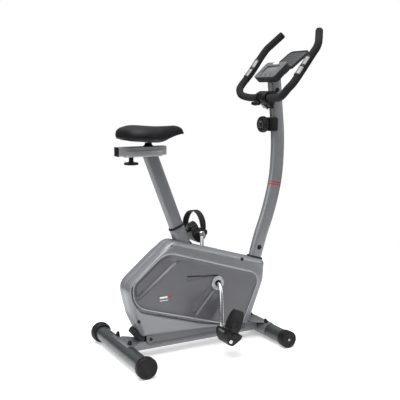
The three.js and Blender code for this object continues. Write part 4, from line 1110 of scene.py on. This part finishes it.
def add_slider():
    low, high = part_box("slider_tube")
    middle = (low + high) / 2
    wall = 0.0025
    path = [Vector((x, middle.y, middle.z)) for x in np.linspace(low.x, high.x, 10)]
    tube = sweep("slider_rail", rounded_section(high.y - low.y, high.z - low.z, 0.0028), path)
    bore = sweep("bore", rounded_section(high.y - low.y - 2 * wall, high.z - low.z - 2 * wall, 0.0012),
                 [Vector((high.x - 0.030, 0, middle.z)), Vector((high.x + 0.01, 0, middle.z))])
    placed(carved(painted(tube, BRIGHT_PAINT), bore), "seat_slider_body", "silver_paint", "slider_tube")

    low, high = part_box("slider_cap")
    cap = block("rail_cap", (low.x, low.y, low.z), (high.x, high.y, high.z), 0.0014)
    placed(painted(cap, BLACK), "seat_slider_body", "black_plastic", "slider_cap")

    low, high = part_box("slide_sleeve")
    inner = half_of("slider_tube").y + 0.00035
    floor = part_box("slider_tube")[0].z - 0.00035
    section = [(-high.y, high.z), (-high.y, low.z + 0.003), (-high.y + 0.003, low.z),
               (high.y - 0.003, low.z), (high.y, low.z + 0.003), (high.y, high.z),
               (inner, high.z), (inner, floor), (-inner, floor), (-inner, high.z)]
    sleeve = plate("sliding_cradle", section, low.x, high.x, 0.0009, axis="X", segments=2)
    placed(painted(sleeve, BRIGHT_PAINT), "seat_post_body", "silver_paint", "slide_sleeve")

    low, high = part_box("slider_knob")
    at = middle_of("slider_knob")

    def lobes(turn, offset):
        bite = 0.5 - 0.5 * math.cos(8 * turn)
        return 1 - (0.10 * bite if offset < 0.0105 else 0)

    tall = high.z - low.z
    profile = [(0, 0.0016), (0.012, 0.0016), (0.014, 0.0), (0.024, 0.0), (0.0285, 0.0012), (0.0300, 0.0040),
               (0.0295, 0.0078), (0.0255, 0.0098), (0.0150, 0.0104), (0.0105, 0.0125), (0.0092, 0.0160),
               (0.0092, tall), (0, tall)]
    knob = lathe("rail_knob", profile, (at.x, 0, low.z), "Z", 144, wave=lobes)
    placed(painted(knob, BLACK), "slider_knob_body", "black_plastic", "slider_knob")

    low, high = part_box("saddle_clamp")
    at = middle_of("saddle_clamp")
    profile = [(0, 0), (0.0200, 0), (0.0200, 0.0016), (0.0188, 0.0026), (0.0160, 0.0048), (0.0144, 0.0072),
               (0.0140, 0.0100), (0.0140, high.z - low.z), (0, high.z - low.z)]
    stub = lathe("saddle_stem", profile, (at.x, 0, low.z), "Z", 64)
    placed(painted(stub, BLACK), "seat_slider_body", "black_plastic", "saddle_clamp")


# ------------------------------------------------------------------ saddle

# From the broad rear to the nose: x, half width, crown, underside at the middle.
SADDLE_STATIONS = (
    (-0.4065, 0.043, 0.9150, 0.8890), (-0.398, 0.075, 0.9275, 0.8830), (-0.383, 0.0965, 0.9335, 0.8790),
    (-0.354, 0.1115, 0.9365, 0.8765), (-0.320, 0.1135, 0.9355, 0.8740), (-0.290, 0.101, 0.9330, 0.8715),
    (-0.262, 0.079, 0.9315, 0.8700), (-0.235, 0.056, 0.9315, 0.8725), (-0.208, 0.041, 0.9330, 0.882),
    (-0.178, 0.0325, 0.9335, 0.892), (-0.152, 0.027, 0.9300, 0.8980), (-0.139, 0.020, 0.9230, 0.8985),
    (-0.133, 0.011, 0.9130, 0.9020),
)
SADDLE_SIDES = 72
SADDLE_VOXEL = 0.0045
SWELL_PRESSURE, SWELL_FRAMES, SWELL_CAP = 4.0, 16, 0.0030


def saddle_rings(shrink):
    """Cross-sections of the cushion: a crowned top with a shallow groove, full sides, a flat underside."""
    line = spline([(x, half, top) for x, half, top, _ in SADDLE_STATIONS], 64)
    stations = [s[0] for s in SADDLE_STATIONS]
    rings = []
    for point in line:
        x, half, top = point
        under = float(np.interp(x, stations, [s[3] for s in SADDLE_STATIONS]))
        half, top, under = half - shrink, top - shrink, under + shrink
        groove = 0.0045 * smooth_step(-0.400, -0.340, x) * (1 - smooth_step(-0.200, -0.160, x))
        ring = []
        for i in range(SADDLE_SIDES):
            turn = 2 * math.pi * i / SADDLE_SIDES
            c, s = math.cos(turn), math.sin(turn)
            y = half * math.copysign(abs(c) ** 0.82, c)
            middle = under + (top - under) * 0.22
            if s >= 0:
                z = middle + (top - middle) * s ** 0.78
                z -= groove * math.exp(-(y / 0.013) ** 2) * smooth_step(0.5, 1.0, s)
            else:
                y *= 1 - 0.07 * smooth_step(0.1, 1.0, -s)
                z = middle + (middle - under) * -(abs(s) ** 0.55)
            ring.append(Vector((x, y, z)))
        rings.append(ring)
    return rings


def swell(piece, pressure, frames, cap):
    """A short pressure simulation: the cover puffs up, no point further than the cap."""
    before = np.array([v.co for v in piece.data.vertices])
    cloth = piece.modifiers.new("cloth", "CLOTH")
    cloth.settings.use_pressure = True
    cloth.settings.uniform_pressure_force = pressure
    cloth.settings.tension_stiffness = 25
    cloth.settings.compression_stiffness = 25
    cloth.settings.bending_stiffness = 4
    cloth.settings.effector_weights.gravity = 0
    cloth.point_cache.frame_start = 1
    cloth.point_cache.frame_end = frames
    for number in range(1, frames + 1):
        bpy.context.scene.frame_set(number)
    baked(piece)
    bpy.context.scene.frame_set(1)
    after = np.array([v.co for v in piece.data.vertices])
    step = after - before
    far = np.linalg.norm(step, axis=1, keepdims=True)
    held = before + step * np.minimum(1, cap / np.maximum(far, 1e-9))
    piece.data.vertices.foreach_set("co", held.ravel())
    return piece


def add_saddle():
    cushion = skin("saddle_cushion", saddle_rings(0.0015), 80)
    remesh = cushion.modifiers.new("remesh", "REMESH")
    remesh.mode = "VOXEL"
    remesh.voxel_size = SADDLE_VOXEL
    baked(cushion)
    swell(cushion, SWELL_PRESSURE, SWELL_FRAMES, SWELL_CAP)
    smooth = cushion.modifiers.new("smooth", "SMOOTH")
    smooth.iterations = 6
    finer = cushion.modifiers.new("finer", "SUBSURF")
    finer.levels = 1
    baked(cushion, 80)
    painted(cushion, VINYL)
    placed(cushion, "seat_slider_body", "vinyl", "saddle")

    hem = saddle_rings(0.0008)
    seam = closed_sweep("saddle_piping", round_section(0.0016, 10), saddle_seam(hem, -0.62))
    placed(painted(seam, BLACK_SATIN), "seat_slider_body", "vinyl")
    outline = [(p.x, p.y) for p in saddle_seam(saddle_rings(0.012), -0.9)]
    pan = plate("saddle_pan", outline, 0.0, 0.0022, 0.0007, axis="Z", segments=2)
    stations = [s[0] for s in SADDLE_STATIONS]
    for vert in pan.data.vertices:
        vert.co.z += float(np.interp(vert.co.x, stations, [s[3] for s in SADDLE_STATIONS])) - 0.0004
    placed(painted(pan, BLACK), "seat_slider_body", "black_plastic")


def saddle_seam(rings, level):
    """A loop of points round the cushion at a level, from -1 at the underside to 1 at the crown."""
    turn = math.asin(level)
    left = int(round((2 * math.pi + turn) / (2 * math.pi) * SADDLE_SIDES)) % SADDLE_SIDES
    right = int(round((math.pi - turn) / (2 * math.pi) * SADDLE_SIDES)) % SADDLE_SIDES
    return [ring[left] for ring in rings] + [ring[right] for ring in rings[::-1]]


def closed_sweep(name, section, loop):
    """A section carried round a closed loop."""
    points = evenly([*loop, loop[0]], 180)[:-1]
    rings = []
    for i, point in enumerate(points):
        ahead = (points[(i + 1) % len(points)] - points[i - 1]).normalized()
        across = ahead.cross(Vector((0, 0, 1))).normalized()
        up = across.cross(ahead)
        rings.append([point + across * u + up * v for u, v in section])
    return skin(name, [*rings, rings[0]], 60, caps=False)


# ------------------------------------------------------------------ crank and pedals

CRANK_ARM, CRANK_EYE, CRANK_LEAN = 0.176, 0.129, math.radians(8)
ARM_REACH = (
    (0.0, 0.040), (0.002, 0.062), (0.008, 0.074), (0.024, 0.086), (0.052, 0.096), (0.100, 0.109),
    (0.150, 0.122), (0.164, 0.127),
)
PEDAL_PITCH = {"right": math.radians(24), "left": 0.0}
PEDAL_INNER, PEDAL_LENGTH = 0.141, 0.095


def crank_point(along, out, sign):
    x = sign * along * math.sin(CRANK_LEAN)
    return Vector((x, sign * out, HUB_Z + sign * along * math.cos(CRANK_LEAN)))


def add_crank():
    right = [crank_point(a, y, -1) for a, y in ARM_REACH][::-1]
    left = [crank_point(a, y, 1) for a, y in ARM_REACH]
    path = spline([*right, Vector((0, 0, HUB_Z)), *left], 170)
    parts = [sweep("crank_bar", round_section(0.0085, 28), path, (1, 0, 0))]
    for side, sign in SIDES:
        eye = crank_point(CRANK_ARM, 0, sign)
        face = CRANK_EYE + 0.006
        end = PEDAL_INNER + PEDAL_LENGTH - 0.006
        profile = [(0, face - 0.014), (0.0118, face - 0.014), (0.0138, face - 0.0122),
                   (0.0138, face - 0.0018), (0.0122, face), (0.0104, face), (0.0104, face + 0.0042),
                   (0.0070, face + 0.006), (0.0070, end), (0, end)]
        parts.append(lathe(f"crank_eye_{side}", mirrored(profile, sign), eye, sides=56))
    placed(joined("crank_arms", *(painted(p, CHROME) for p in parts)), "crankset", "chrome", "crank")


def add_pedal(side, sign):
    low, high = sorted((sign * PEDAL_INNER, sign * (PEDAL_INNER + PEDAL_LENGTH)))
    eye = crank_point(CRANK_ARM, 0, sign)
    turn = Matrix.Translation(eye) @ Matrix.Rotation(PEDAL_PITCH[side], 4, "Y")
    body = f"pedal_{side}_body"
    section = rounded([(-0.038, 0.0115, 0.003), (-0.038, -0.006, 0.005), (-0.022, -0.030, 0.010),
                       (-0.006, -0.042, 0.008), (0.012, -0.040, 0.008), (0.026, -0.022, 0.008),
                       (0.038, -0.004, 0.004), (0.038, 0.0115, 0.003)], 6)
    core = plate(f"pedal_core_{side}", section, low + 0.0045, high - 0.0045, 0.0025)
    parts = [painted(core, BLACK)]
    for k in range(5):
        x = -0.0295 + 0.01475 * k
        rib = block(f"tread_{k}", (x - 0.0032, low + 0.012, 0.0105),
                    (x + 0.0032, high - 0.012, 0.0122), 0.0008, 2)
        parts.append(painted(rib, BLACK))
    for k in range(6):
        y = low + 0.016 + (high - low - 0.032) * k / 5
        outline = [(a * 1.012, b * 1.012) for a, b in section if b < 0.006]
        rib = plate(f"keel_{k}", outline, y - 0.0014, y + 0.0014, 0.0005, segments=1)
        parts.append(painted(rib, BLACK))
    outer = sign * (PEDAL_INNER + PEDAL_LENGTH - 0.0045)
    boss = [(0, 0.0030), (0.0088, 0.0030), (0.0102, 0.0020), (0.0104, -0.0010), (0, -0.0010)]
    boss = lathe("boss", [(a, outer + sign * b) for a, b in boss], (0, 0, 0), sides=40)
    parts.append(painted(boss, BLACK_SATIN))
    cap = [(0, 0.0028), (0.0056, 0.0027), (0.0074, 0.0016), (0.0076, -0.0010), (0, -0.0010)]
    cap = lathe("dust_cap", [(a, outer + sign * b) for a, b in cap], (-0.006, 0, -0.026), sides=40)
    parts.append(painted(cap, PALE))
    for x in (-0.0385, 0.0385):
        lens = block("reflector", (x - 0.001, low + 0.026, -0.0035),
                     (x + 0.001, high - 0.026, 0.0065), 0.0007, 2)
        parts.append(painted(lens, REFLECTOR))
    pedal = moved(joined(f"pedal_block_{side}", *parts), turn)
    placed(pedal, body, "black_plastic", f"pedal_{side}")
    add_strap(side, sign, (low + high) / 2, turn, body)


def add_strap(side, sign, middle, turn, body):
    """A ribbed rubber strap arching over the foot, with a row of studs on its outer leg."""
    span, tall, bend, thick = PEDAL_LENGTH / 2 + 0.0035, 0.098, 0.025, 0.0026
    rear, wide, slant = (-0.016, 0.044, 0.34) if sign < 0 else (-0.020, 0.028, 0.34)
    path = [Vector((0, middle - span + 0.012, 0.0138)), Vector((0, middle - span, 0.0150))]
    for t in np.radians(np.linspace(180, 0, 44)):
        path.append(Vector((0, middle + span * math.cos(t), bend + (tall - bend) * math.sin(t))))
    path += [Vector((0, middle + span, 0.0150)), Vector((0, middle + span - 0.012, 0.0138))]
    path = evenly(path, 90)
    section = []
    count = 15
    for k in range(count):
        u = -wide / 2 + wide * k / (count - 1)
        ridge = 0.0006 if k % 4 == 2 else 0
        section.append((u, thick / 2 + ridge))
    edge = wide / 2
    section += [(edge + 0.0004, 0), (edge, -thick / 2), (-edge, -thick / 2), (-edge - 0.0004, 0)]
    sizes = [1 - 0.16 * (1 - smooth_step(0.0, 0.22, min(k, 89 - k) / 89)) for k in range(90)]
    strap = sweep(f"strap_band_{side}", section, path, (1, 0, 0), sizes=[float(s) for s in sizes])
    shift = Matrix.Translation((rear + wide / 2, 0, 0))
    lean = sign * slant
    shift = shift @ Matrix(((1, -lean, 0, lean * middle), (0, 1, 0, 0), (0, 0, 1, 0), (0, 0, 0, 1)))
    strap.data.transform(shift)
    parts = [painted(strap, RUBBER)]
    for k in range(3):
        share = 0.16 + 0.07 * k
        index = int((share if sign < 0 else 1 - share) * 89)
        at, ahead = path[index], (path[index + 1] - path[index - 1]).normalized()
        out = ahead.cross(Vector((1, 0, 0))).normalized()
        out = out if (at - Vector((0, middle, bend))).dot(out) > 0 else -out
        dome = [(0, 0), (0.0040, 0), (0.0036, 0.0016), (0.0018, 0.0020), (0, 0.0020)]
        stud = lathe("stud", dome, (0, 0, 0), "Z", 20)
        centre = shift @ (at + out * (thick / 2))
        parts.append(painted(moved(stud, tilted(centre, out)), BLACK_SATIN))
    band = moved(joined(f"pedal_strap_band_{side}", *parts), turn)
    placed(band, body, "strap_rubber", f"pedal_strap_{side}")


# ------------------------------------------------------------------ handlebar and clamp

BAR_HALF = (
    (0.254, 0, 1.041), (0.254, 0.060, 1.041), (0.250, 0.120, 1.043), (0.241, 0.160, 1.054),
    (0.248, 0.184, 1.078), (0.266, 0.192, 1.099), (0.312, 0.189, 1.152), (0.360, 0.1905, 1.216),
    (0.383, 0.190, 1.245), (0.394, 0.185, 1.260), (0.405, 0.174, 1.2735), (0.442, 0.129, 1.323),
)
BAR_PATH = spline([*((x, -y, z) for x, y, z in BAR_HALF[:0:-1]), *BAR_HALF], 601)
BAR_LENGTH = length_of(BAR_PATH)
FOAM_RADIUS = 0.0160
SENSOR_START, SENSOR_END = 0.262, 0.362


def bar_part(sign, start, end, count):
    """Points on the bar between two distances from its middle, on one side."""
    return stretch(BAR_PATH, 0.5 + sign * start / BAR_LENGTH, 0.5 + sign * end / BAR_LENGTH, count)


def add_handlebar():
    tube = sweep("bar_tube", round_section(0.0125, 28), stretch(BAR_PATH, 0.004, 0.996, 220), (0, 0, 1))
    placed(painted(tube, BLACK_SATIN), "handlebar_body", "steel", "handlebar_tube")
    for side, sign in SIDES:
        end = BAR_LENGTH / 2 - 0.003
        path = bar_part(sign, 0.039, end, 170)
        sizes = []
        for k in range(170):
            from_end = min(k, 169 - k) * (end - 0.039) / 169
            sizes.append(0.80 + 0.20 * math.sqrt(min(1.0, from_end / 0.0045)))
        grip = sweep(f"foam_grip_{side}", round_section(FOAM_RADIUS, 40), path, (0, 0, 1), sizes=sizes)
        placed(painted(grip, FOAM), "handlebar_body", "foam", f"grip_{side}")
        add_pulse_sensor(side, sign)


def half_shell(name, radius, thick, spread, path, sizes=None):
    """A thin curved plate on the rider's side of the bar."""
    turns = np.radians(np.linspace(-spread, spread, 30))
    outer = [((radius + thick) * math.cos(t), (radius + thick) * math.sin(t)) for t in turns]
    inner = [(radius * math.cos(t), radius * math.sin(t)) for t in turns[::-1]]
    return sweep(name, outer + inner, path, (0, 0, 1), sizes=sizes)


def add_pulse_sensor(side, sign):
    """Two brushed plates on the rider's side of the grip, in a black carrier with a raised bridge."""
    start, end, r = SENSOR_START, SENSOR_END, FOAM_RADIUS
    carrier = half_shell("carrier", r - 0.0008, 0.0018, 88, bar_part(sign, start, end, 40))
    parts = [painted(carrier, BLACK)]
    bridge = (start + end) / 2
    for low, high in ((start, start + 0.006), (bridge - 0.006, bridge + 0.006), (end - 0.006, end)):
        sizes = [0.93, 0.98, 1, 1, 1, 1, 1, 0.98, 0.93]
        band = half_shell("band", r - 0.0006, 0.0032, 84, bar_part(sign, low, high, 9), sizes)
        parts.append(painted(band, BLACK_SATIN))
    for low, high in ((start + 0.0065, bridge - 0.0065), (bridge + 0.0065, end - 0.0065)):
        sizes = [0.975, 1, 1, 1, 1, 1, 1, 1, 1, 1, 1, 1, 1, 0.975]
        plate_piece = half_shell("contact", r + 0.0004, 0.0021, 58, bar_part(sign, low, high, 14), sizes)
        parts.append(painted(plate_piece, BRUSHED))
    placed(joined(f"pulse_plates_{side}", *parts), "handlebar_body", "chrome", f"pulse_sensor_{side}")


def add_clamp():
    low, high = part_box("clamp_cover")
    bar = Vector(BAR_HALF[0])
    outline = rounded([(0.2345, 1.035, 0.010), (0.2365, 1.0595, 0.010), (0.251, 1.070, 0.006),
                       (0.303, 1.069, 0.006), (0.305, 1.040, 0.008), (0.2885, 1.0165, 0.006),
                       (0.2855, 0.996, 0.005), (0.2745, 0.996, 0.005), (0.2525, 1.020, 0.006)])
    shell = plate("clamp_block", outline, low.y + 0.004, high.y - 0.004, 0.006, segments=4)
    parts = [painted(shell, BLACK)]
    for sign in (-1, 1):
        face = sign * high.y
        steps = ((0.0172, 0), (0.0225, 0), (0.0245, 0.0016), (0.0252, 0.004), (0.0252, 0.016),
                 (0.0172, 0.016), (0.0172, 0))
        collar = [(radius, face - sign * inset) for radius, inset in steps]
        parts.append(painted(lathe("collar", collar, bar, sides=64), BLACK))
        cheek = rounded([(0.276, 1.004, 0.004), (0.262, 1.020, 0.006), (0.262, 1.062, 0.006),
                         (0.298, 1.061, 0.006), (0.299, 1.042, 0.006), (0.283, 1.018, 0.006)])
        plane = sorted((face - sign * 0.0062, face - sign * 0.0024))
        parts.append(painted(plate("cheek", cheek, *plane, 0.0014), BLACK_SATIN))
    seam = rounded([(0.2338, 1.0395, 0.0006), (0.2495, 1.0395, 0.0006), (0.2495, 1.0425, 0.0006),
                    (0.2338, 1.0425, 0.0006)], 2)
    parts.append(painted(plate("split_line", seam, low.y + 0.012, high.y - 0.012), CHARCOAL))
    placed(joined("bar_clamp", *parts), "frame", "black_plastic", "clamp_cover")

    low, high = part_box("clamp_lever")
    z = (low.z + high.z) / 2
    shaft = [(0, 0), (0.0034, 0), (0.0040, 0.0006), (0.0040, 0.024), (0, 0.024)]
    parts = [painted(lathe("shaft", shaft, (0.222, 0, z), "X", 32), STEEL)]
    hub = [(0, -0.0010), (0.0070, -0.0010), (0.0088, 0.0010), (0.0090, 0.0120), (0.0072, 0.0160),
           (0, 0.0165)]
    parts.append(painted(lathe("hub", hub, (low.x, 0, z), "X", 40), BLACK))
    rings = []
    for y in np.linspace(low.y, high.y, 41):
        share = abs(y) / high.y
        edge = math.sqrt(max(0.02, 1 - ((share - 0.86) / 0.14) ** 2)) if share > 0.86 else 1
        thick = (0.0046 + 0.0030 * smooth_step(0.25, 0.8, share)) * edge
        tall = (0.0056 + 0.0022 * smooth_step(0.2, 0.85, share)) * edge
        x = low.x + 0.0085
        rings.append([Vector((x + thick * u, y, z + tall * v)) for u, v in round_section(1.0, 28)])
    parts.append(painted(skin("wing", rings), BLACK))
    placed(joined("clamp_wing_lever", *parts), "clamp_lever_body", "black_plastic", "clamp_lever")

    strip = rounded([(0.246, 1.0100, 0.001), (0.276, 0.9900, 0.001), (0.2775, 0.9930, 0.001),
                     (0.2485, 1.0135, 0.001)], 2)
    bracket = plate("clamp_bracket", strip, -0.006, 0.006, 0.0008, segments=2)
    placed(painted(bracket, STEEL), "frame", "steel")


# ------------------------------------------------------------------ console

CONSOLE_TILT = math.radians(41.85)
CONSOLE_AT = Matrix.Translation((0.286, 0, 1.1607)) @ Matrix.Rotation(-CONSOLE_TILT, 4, "Y")
CONSOLE_HALF, CONSOLE_REACH, CONSOLE_DEPTH, BEZEL = 0.077, 0.0475, 0.034, 0.0037


def panel_outline(x0, x1, half, r0, r1, steps=6):
    return rounded([(x0, -half, r0), (x1, -half, r1), (x1, half, r1), (x0, half, r0)], steps)


def add_console():
    half, reach = CONSOLE_HALF, CONSOLE_REACH
    top = -BEZEL - 0.00035
    outline = panel_outline(-reach, reach, half, 0.014, 0.014)
    tray = plate("tray", outline, -CONSOLE_DEPTH, top, 0.0, axis="Z")
    for vert in tray.data.vertices:
        if vert.co.z < -0.02:
            vert.co.x *= 0.97
            vert.co.y *= 0.965
    rounded_off(tray, 0.005, 4, 40)
    band = plate("band", panel_outline(-reach + 0.0004, reach - 0.0004, half - 0.0004, 0.014, 0.014),
                 top - 0.0016, top - 0.0003, axis="Z")
    foot = CONSOLE_AT.inverted() @ mast_frame(1.128)[0]
    ahead = (CONSOLE_AT.inverted().to_3x3() @ mast_frame(1.128)[1]).normalized()
    ring = rounded_section(MAST_WIDE + 0.006, MAST_DEEP + 0.006, MAST_WIDE / 2, 12)
    steps = [(-0.0060, 0.94), (-0.0050, 0.985), (-0.0025, 1.0), (0.0, 1.0), (0.010, 1.0)]
    neck = stepped("neck", ring, foot, ahead, steps)
    parts = [painted(p, CHARCOAL) for p in (tray, neck)] + [painted(band, BLACK_SATIN)]
    for sign in (-1, 1):
        for k in range(4):
            x = -0.018 + 0.009 * k
            y = sign * 0.0768
            slot = block("vent", (x - 0.0016, y - 0.0006, -0.019),
                         (x + 0.0016, y + 0.0006, -0.010), 0.0004, 1)
            parts.append(painted(slot, BLACK_SATIN))
    case = moved(joined("console_shell", *parts), CONSOLE_AT)
    placed(case, "frame", "black_plastic", "console_case")

    outline = panel_outline(-reach, reach, half, 0.014, 0.014, 10)
    face = plate("console_bezel", outline, -BEZEL, -0.0002, axis="Z")
    hole = block("window", (-0.0185, -0.0445, -0.01), (0.0205, 0.0445, 0.01), 0.002, 2)
    buttons = [middle_of(f"console_button_{k}") for k in (1, 2, 3)]
    wells = [lathe(f"well_{k}", [(0, -0.01), (0.0064, -0.01), (0.0064, 0.01), (0, 0.01)],
                   CONSOLE_AT.inverted() @ at, "Z", 40) for k, at in enumerate(buttons)]
    face = carved(painted(face, GREY), hole, *wells)
    rounded_off(face, 0.0012, 3, 40)
    trims = []
    for x0, x1, y0, y1 in ((0.0190, 0.0245, -0.046, 0.047), (-0.0185, 0.0230, 0.0432, 0.0475)):
        trims.append(painted(block("trim", (x0, y0, -0.0016), (x1, y1, 0.0003), 0.0003, 2), BLACK_SATIN))
    tab = plate("tab", panel_outline(0.0335, 0.0445, 0.019, 0.003, 0.003), -0.001, 0.0007, 0.0006, axis="Z")
    trims.append(painted(tab, PALE))
    fascia = moved(joined("console_fascia", face, *trims), CONSOLE_AT)
    placed(fascia, "frame", "grey_plastic", "console_face")
    add_display()
    add_buttons(buttons)
    add_tablet_rest()


DISPLAY_FACE = -0.00118


def display_bar(name, x, y, tall, wide, material):
    """A thin printed bar on the display, centred at x, y."""
    low = (x - tall / 2, y - wide / 2, DISPLAY_FACE - 0.0002)
    high = (x + tall / 2, y + wide / 2, DISPLAY_FACE + 0.0001)
    return painted(block(name, low, high, 0, 1), material)


def add_display():
    pane = block("pane", (-0.0180, -0.0440, -0.0036), (0.0200, 0.0440, -0.0012), 0.0004, 2)
    parts = [painted(pane, DISPLAY)]
    for x in (0.0158, -0.0117):
        parts.append(display_bar("rule", x, 0, 0.0006, 0.080, CHARCOAL))
    for digit in range(4):
        y = 0.026 - 0.0165 * digit
        for x in (0.0125, 0.0030, -0.0065):
            parts.append(display_bar("segment", x, y, 0.0010, 0.0085, GREY))
        for at in (y - 0.0050, y + 0.0050):
            for x in (0.00775, -0.00175):
                parts.append(display_bar("segment", x, at, 0.0080, 0.0010, GREY))
    window = moved(joined("console_display", *parts), CONSOLE_AT)
    placed(window, "frame", "lens", "console_lens")


def add_buttons(centres):
    for k, at in enumerate(centres):
        local = CONSOLE_AT.inverted() @ at
        profile = [(0, -0.0021), (0.0055, -0.0021), (0.0055, 0.0010), (0.0050, 0.0017),
                   (0.0030, 0.0021), (0, 0.0019)]
        key = lathe(f"console_key_{k + 1}", profile, (local.x, local.y, 0), "Z", 40)
        placed(painted(moved(key, CONSOLE_AT), GREY), f"button_{k + 1}_body", "black_plastic",
               f"console_button_{k + 1}")


REST_PIVOT = Vector((0.030, 0, -0.029))
REST_TURN = Matrix.Rotation(math.radians(5), 4, "Y")
REST_TILT = Matrix.Translation(REST_PIVOT) @ REST_TURN @ Matrix.Translation(-REST_PIVOT)


def add_tablet_rest():
    back, face, rim, half = -0.041, -0.033, -0.0291, 0.0697
    board = plate("board", panel_outline(0.0492, 0.1718, half, 0.006, 0.026, 10), back, rim, axis="Z")
    hollow = panel_outline(0.0560, 0.1660, half - 0.0062, 0.006, 0.021, 10)
    well = plate("well", hollow, face, 0.0, axis="Z")
    board = carved(painted(board, CHARCOAL), well)
    rounded_off(board, 0.0018, 3, 40)
    mat = panel_outline(0.0575, 0.1645, half - 0.0078, 0.005, 0.020, 8)
    pad = plate("pad", mat, face - 0.001, face + 0.0006, 0.0005, axis="Z")
    parts = [board, painted(pad, REST_PLASTIC)]
    for k in range(7):
        x = 0.068 + 0.0135 * k
        rib = block("rib", (x - 0.0007, -0.046, face), (x + 0.0007, 0.046, face + 0.0014), 0.0004, 1)
        parts.append(painted(rib, REST_PLASTIC))
    for part in parts:
        moved(part, REST_TILT)
    for inset, low, high in ((0.0, -0.046, -CONSOLE_DEPTH - 0.0005), (0.006, -0.0455, -0.0400)):
        side_at = 0.050 - inset
        bridge = block("bridge", (0.0205 + inset, -side_at, low), (0.0615, side_at, high), 0.002)
        parts.append(painted(bridge, CHARCOAL))
    rest = moved(joined("tablet_board", *parts), CONSOLE_AT)
    placed(rest, "frame", "grey_plastic", "tablet_rest")


# ------------------------------------------------------------------ pieces inside the housing

def finish_inner_pieces():
    """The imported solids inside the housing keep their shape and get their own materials."""
    looks = {
        DARK_PAINT: ("front_post", "bb_shell", "fork_plate_right", "fork_plate_left"),
        STEEL: ("bearing_cup_right", "bearing_cup_left", "flywheel_axle", "magnet_carrier"),
        IRON: ("flywheel",),
        BLACK: ("crank_pulley",),
        BELT: ("drive_belt",),
    }
    for material, nodes in looks.items():
        for node in nodes:
            painted(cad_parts[node], material)


add_camera()
add_lights()
add_floor()
add_base()
add_feet()
add_mast()
add_tension_control()
add_housing()
add_seat_tube()
add_seat_post()
add_pin_knob()
add_slider()
add_saddle()
add_crank()
for pedal_side, pedal_sign in SIDES:
    add_pedal(pedal_side, pedal_sign)
add_handlebar()
add_clamp()
add_console()
finish_inner_pieces()
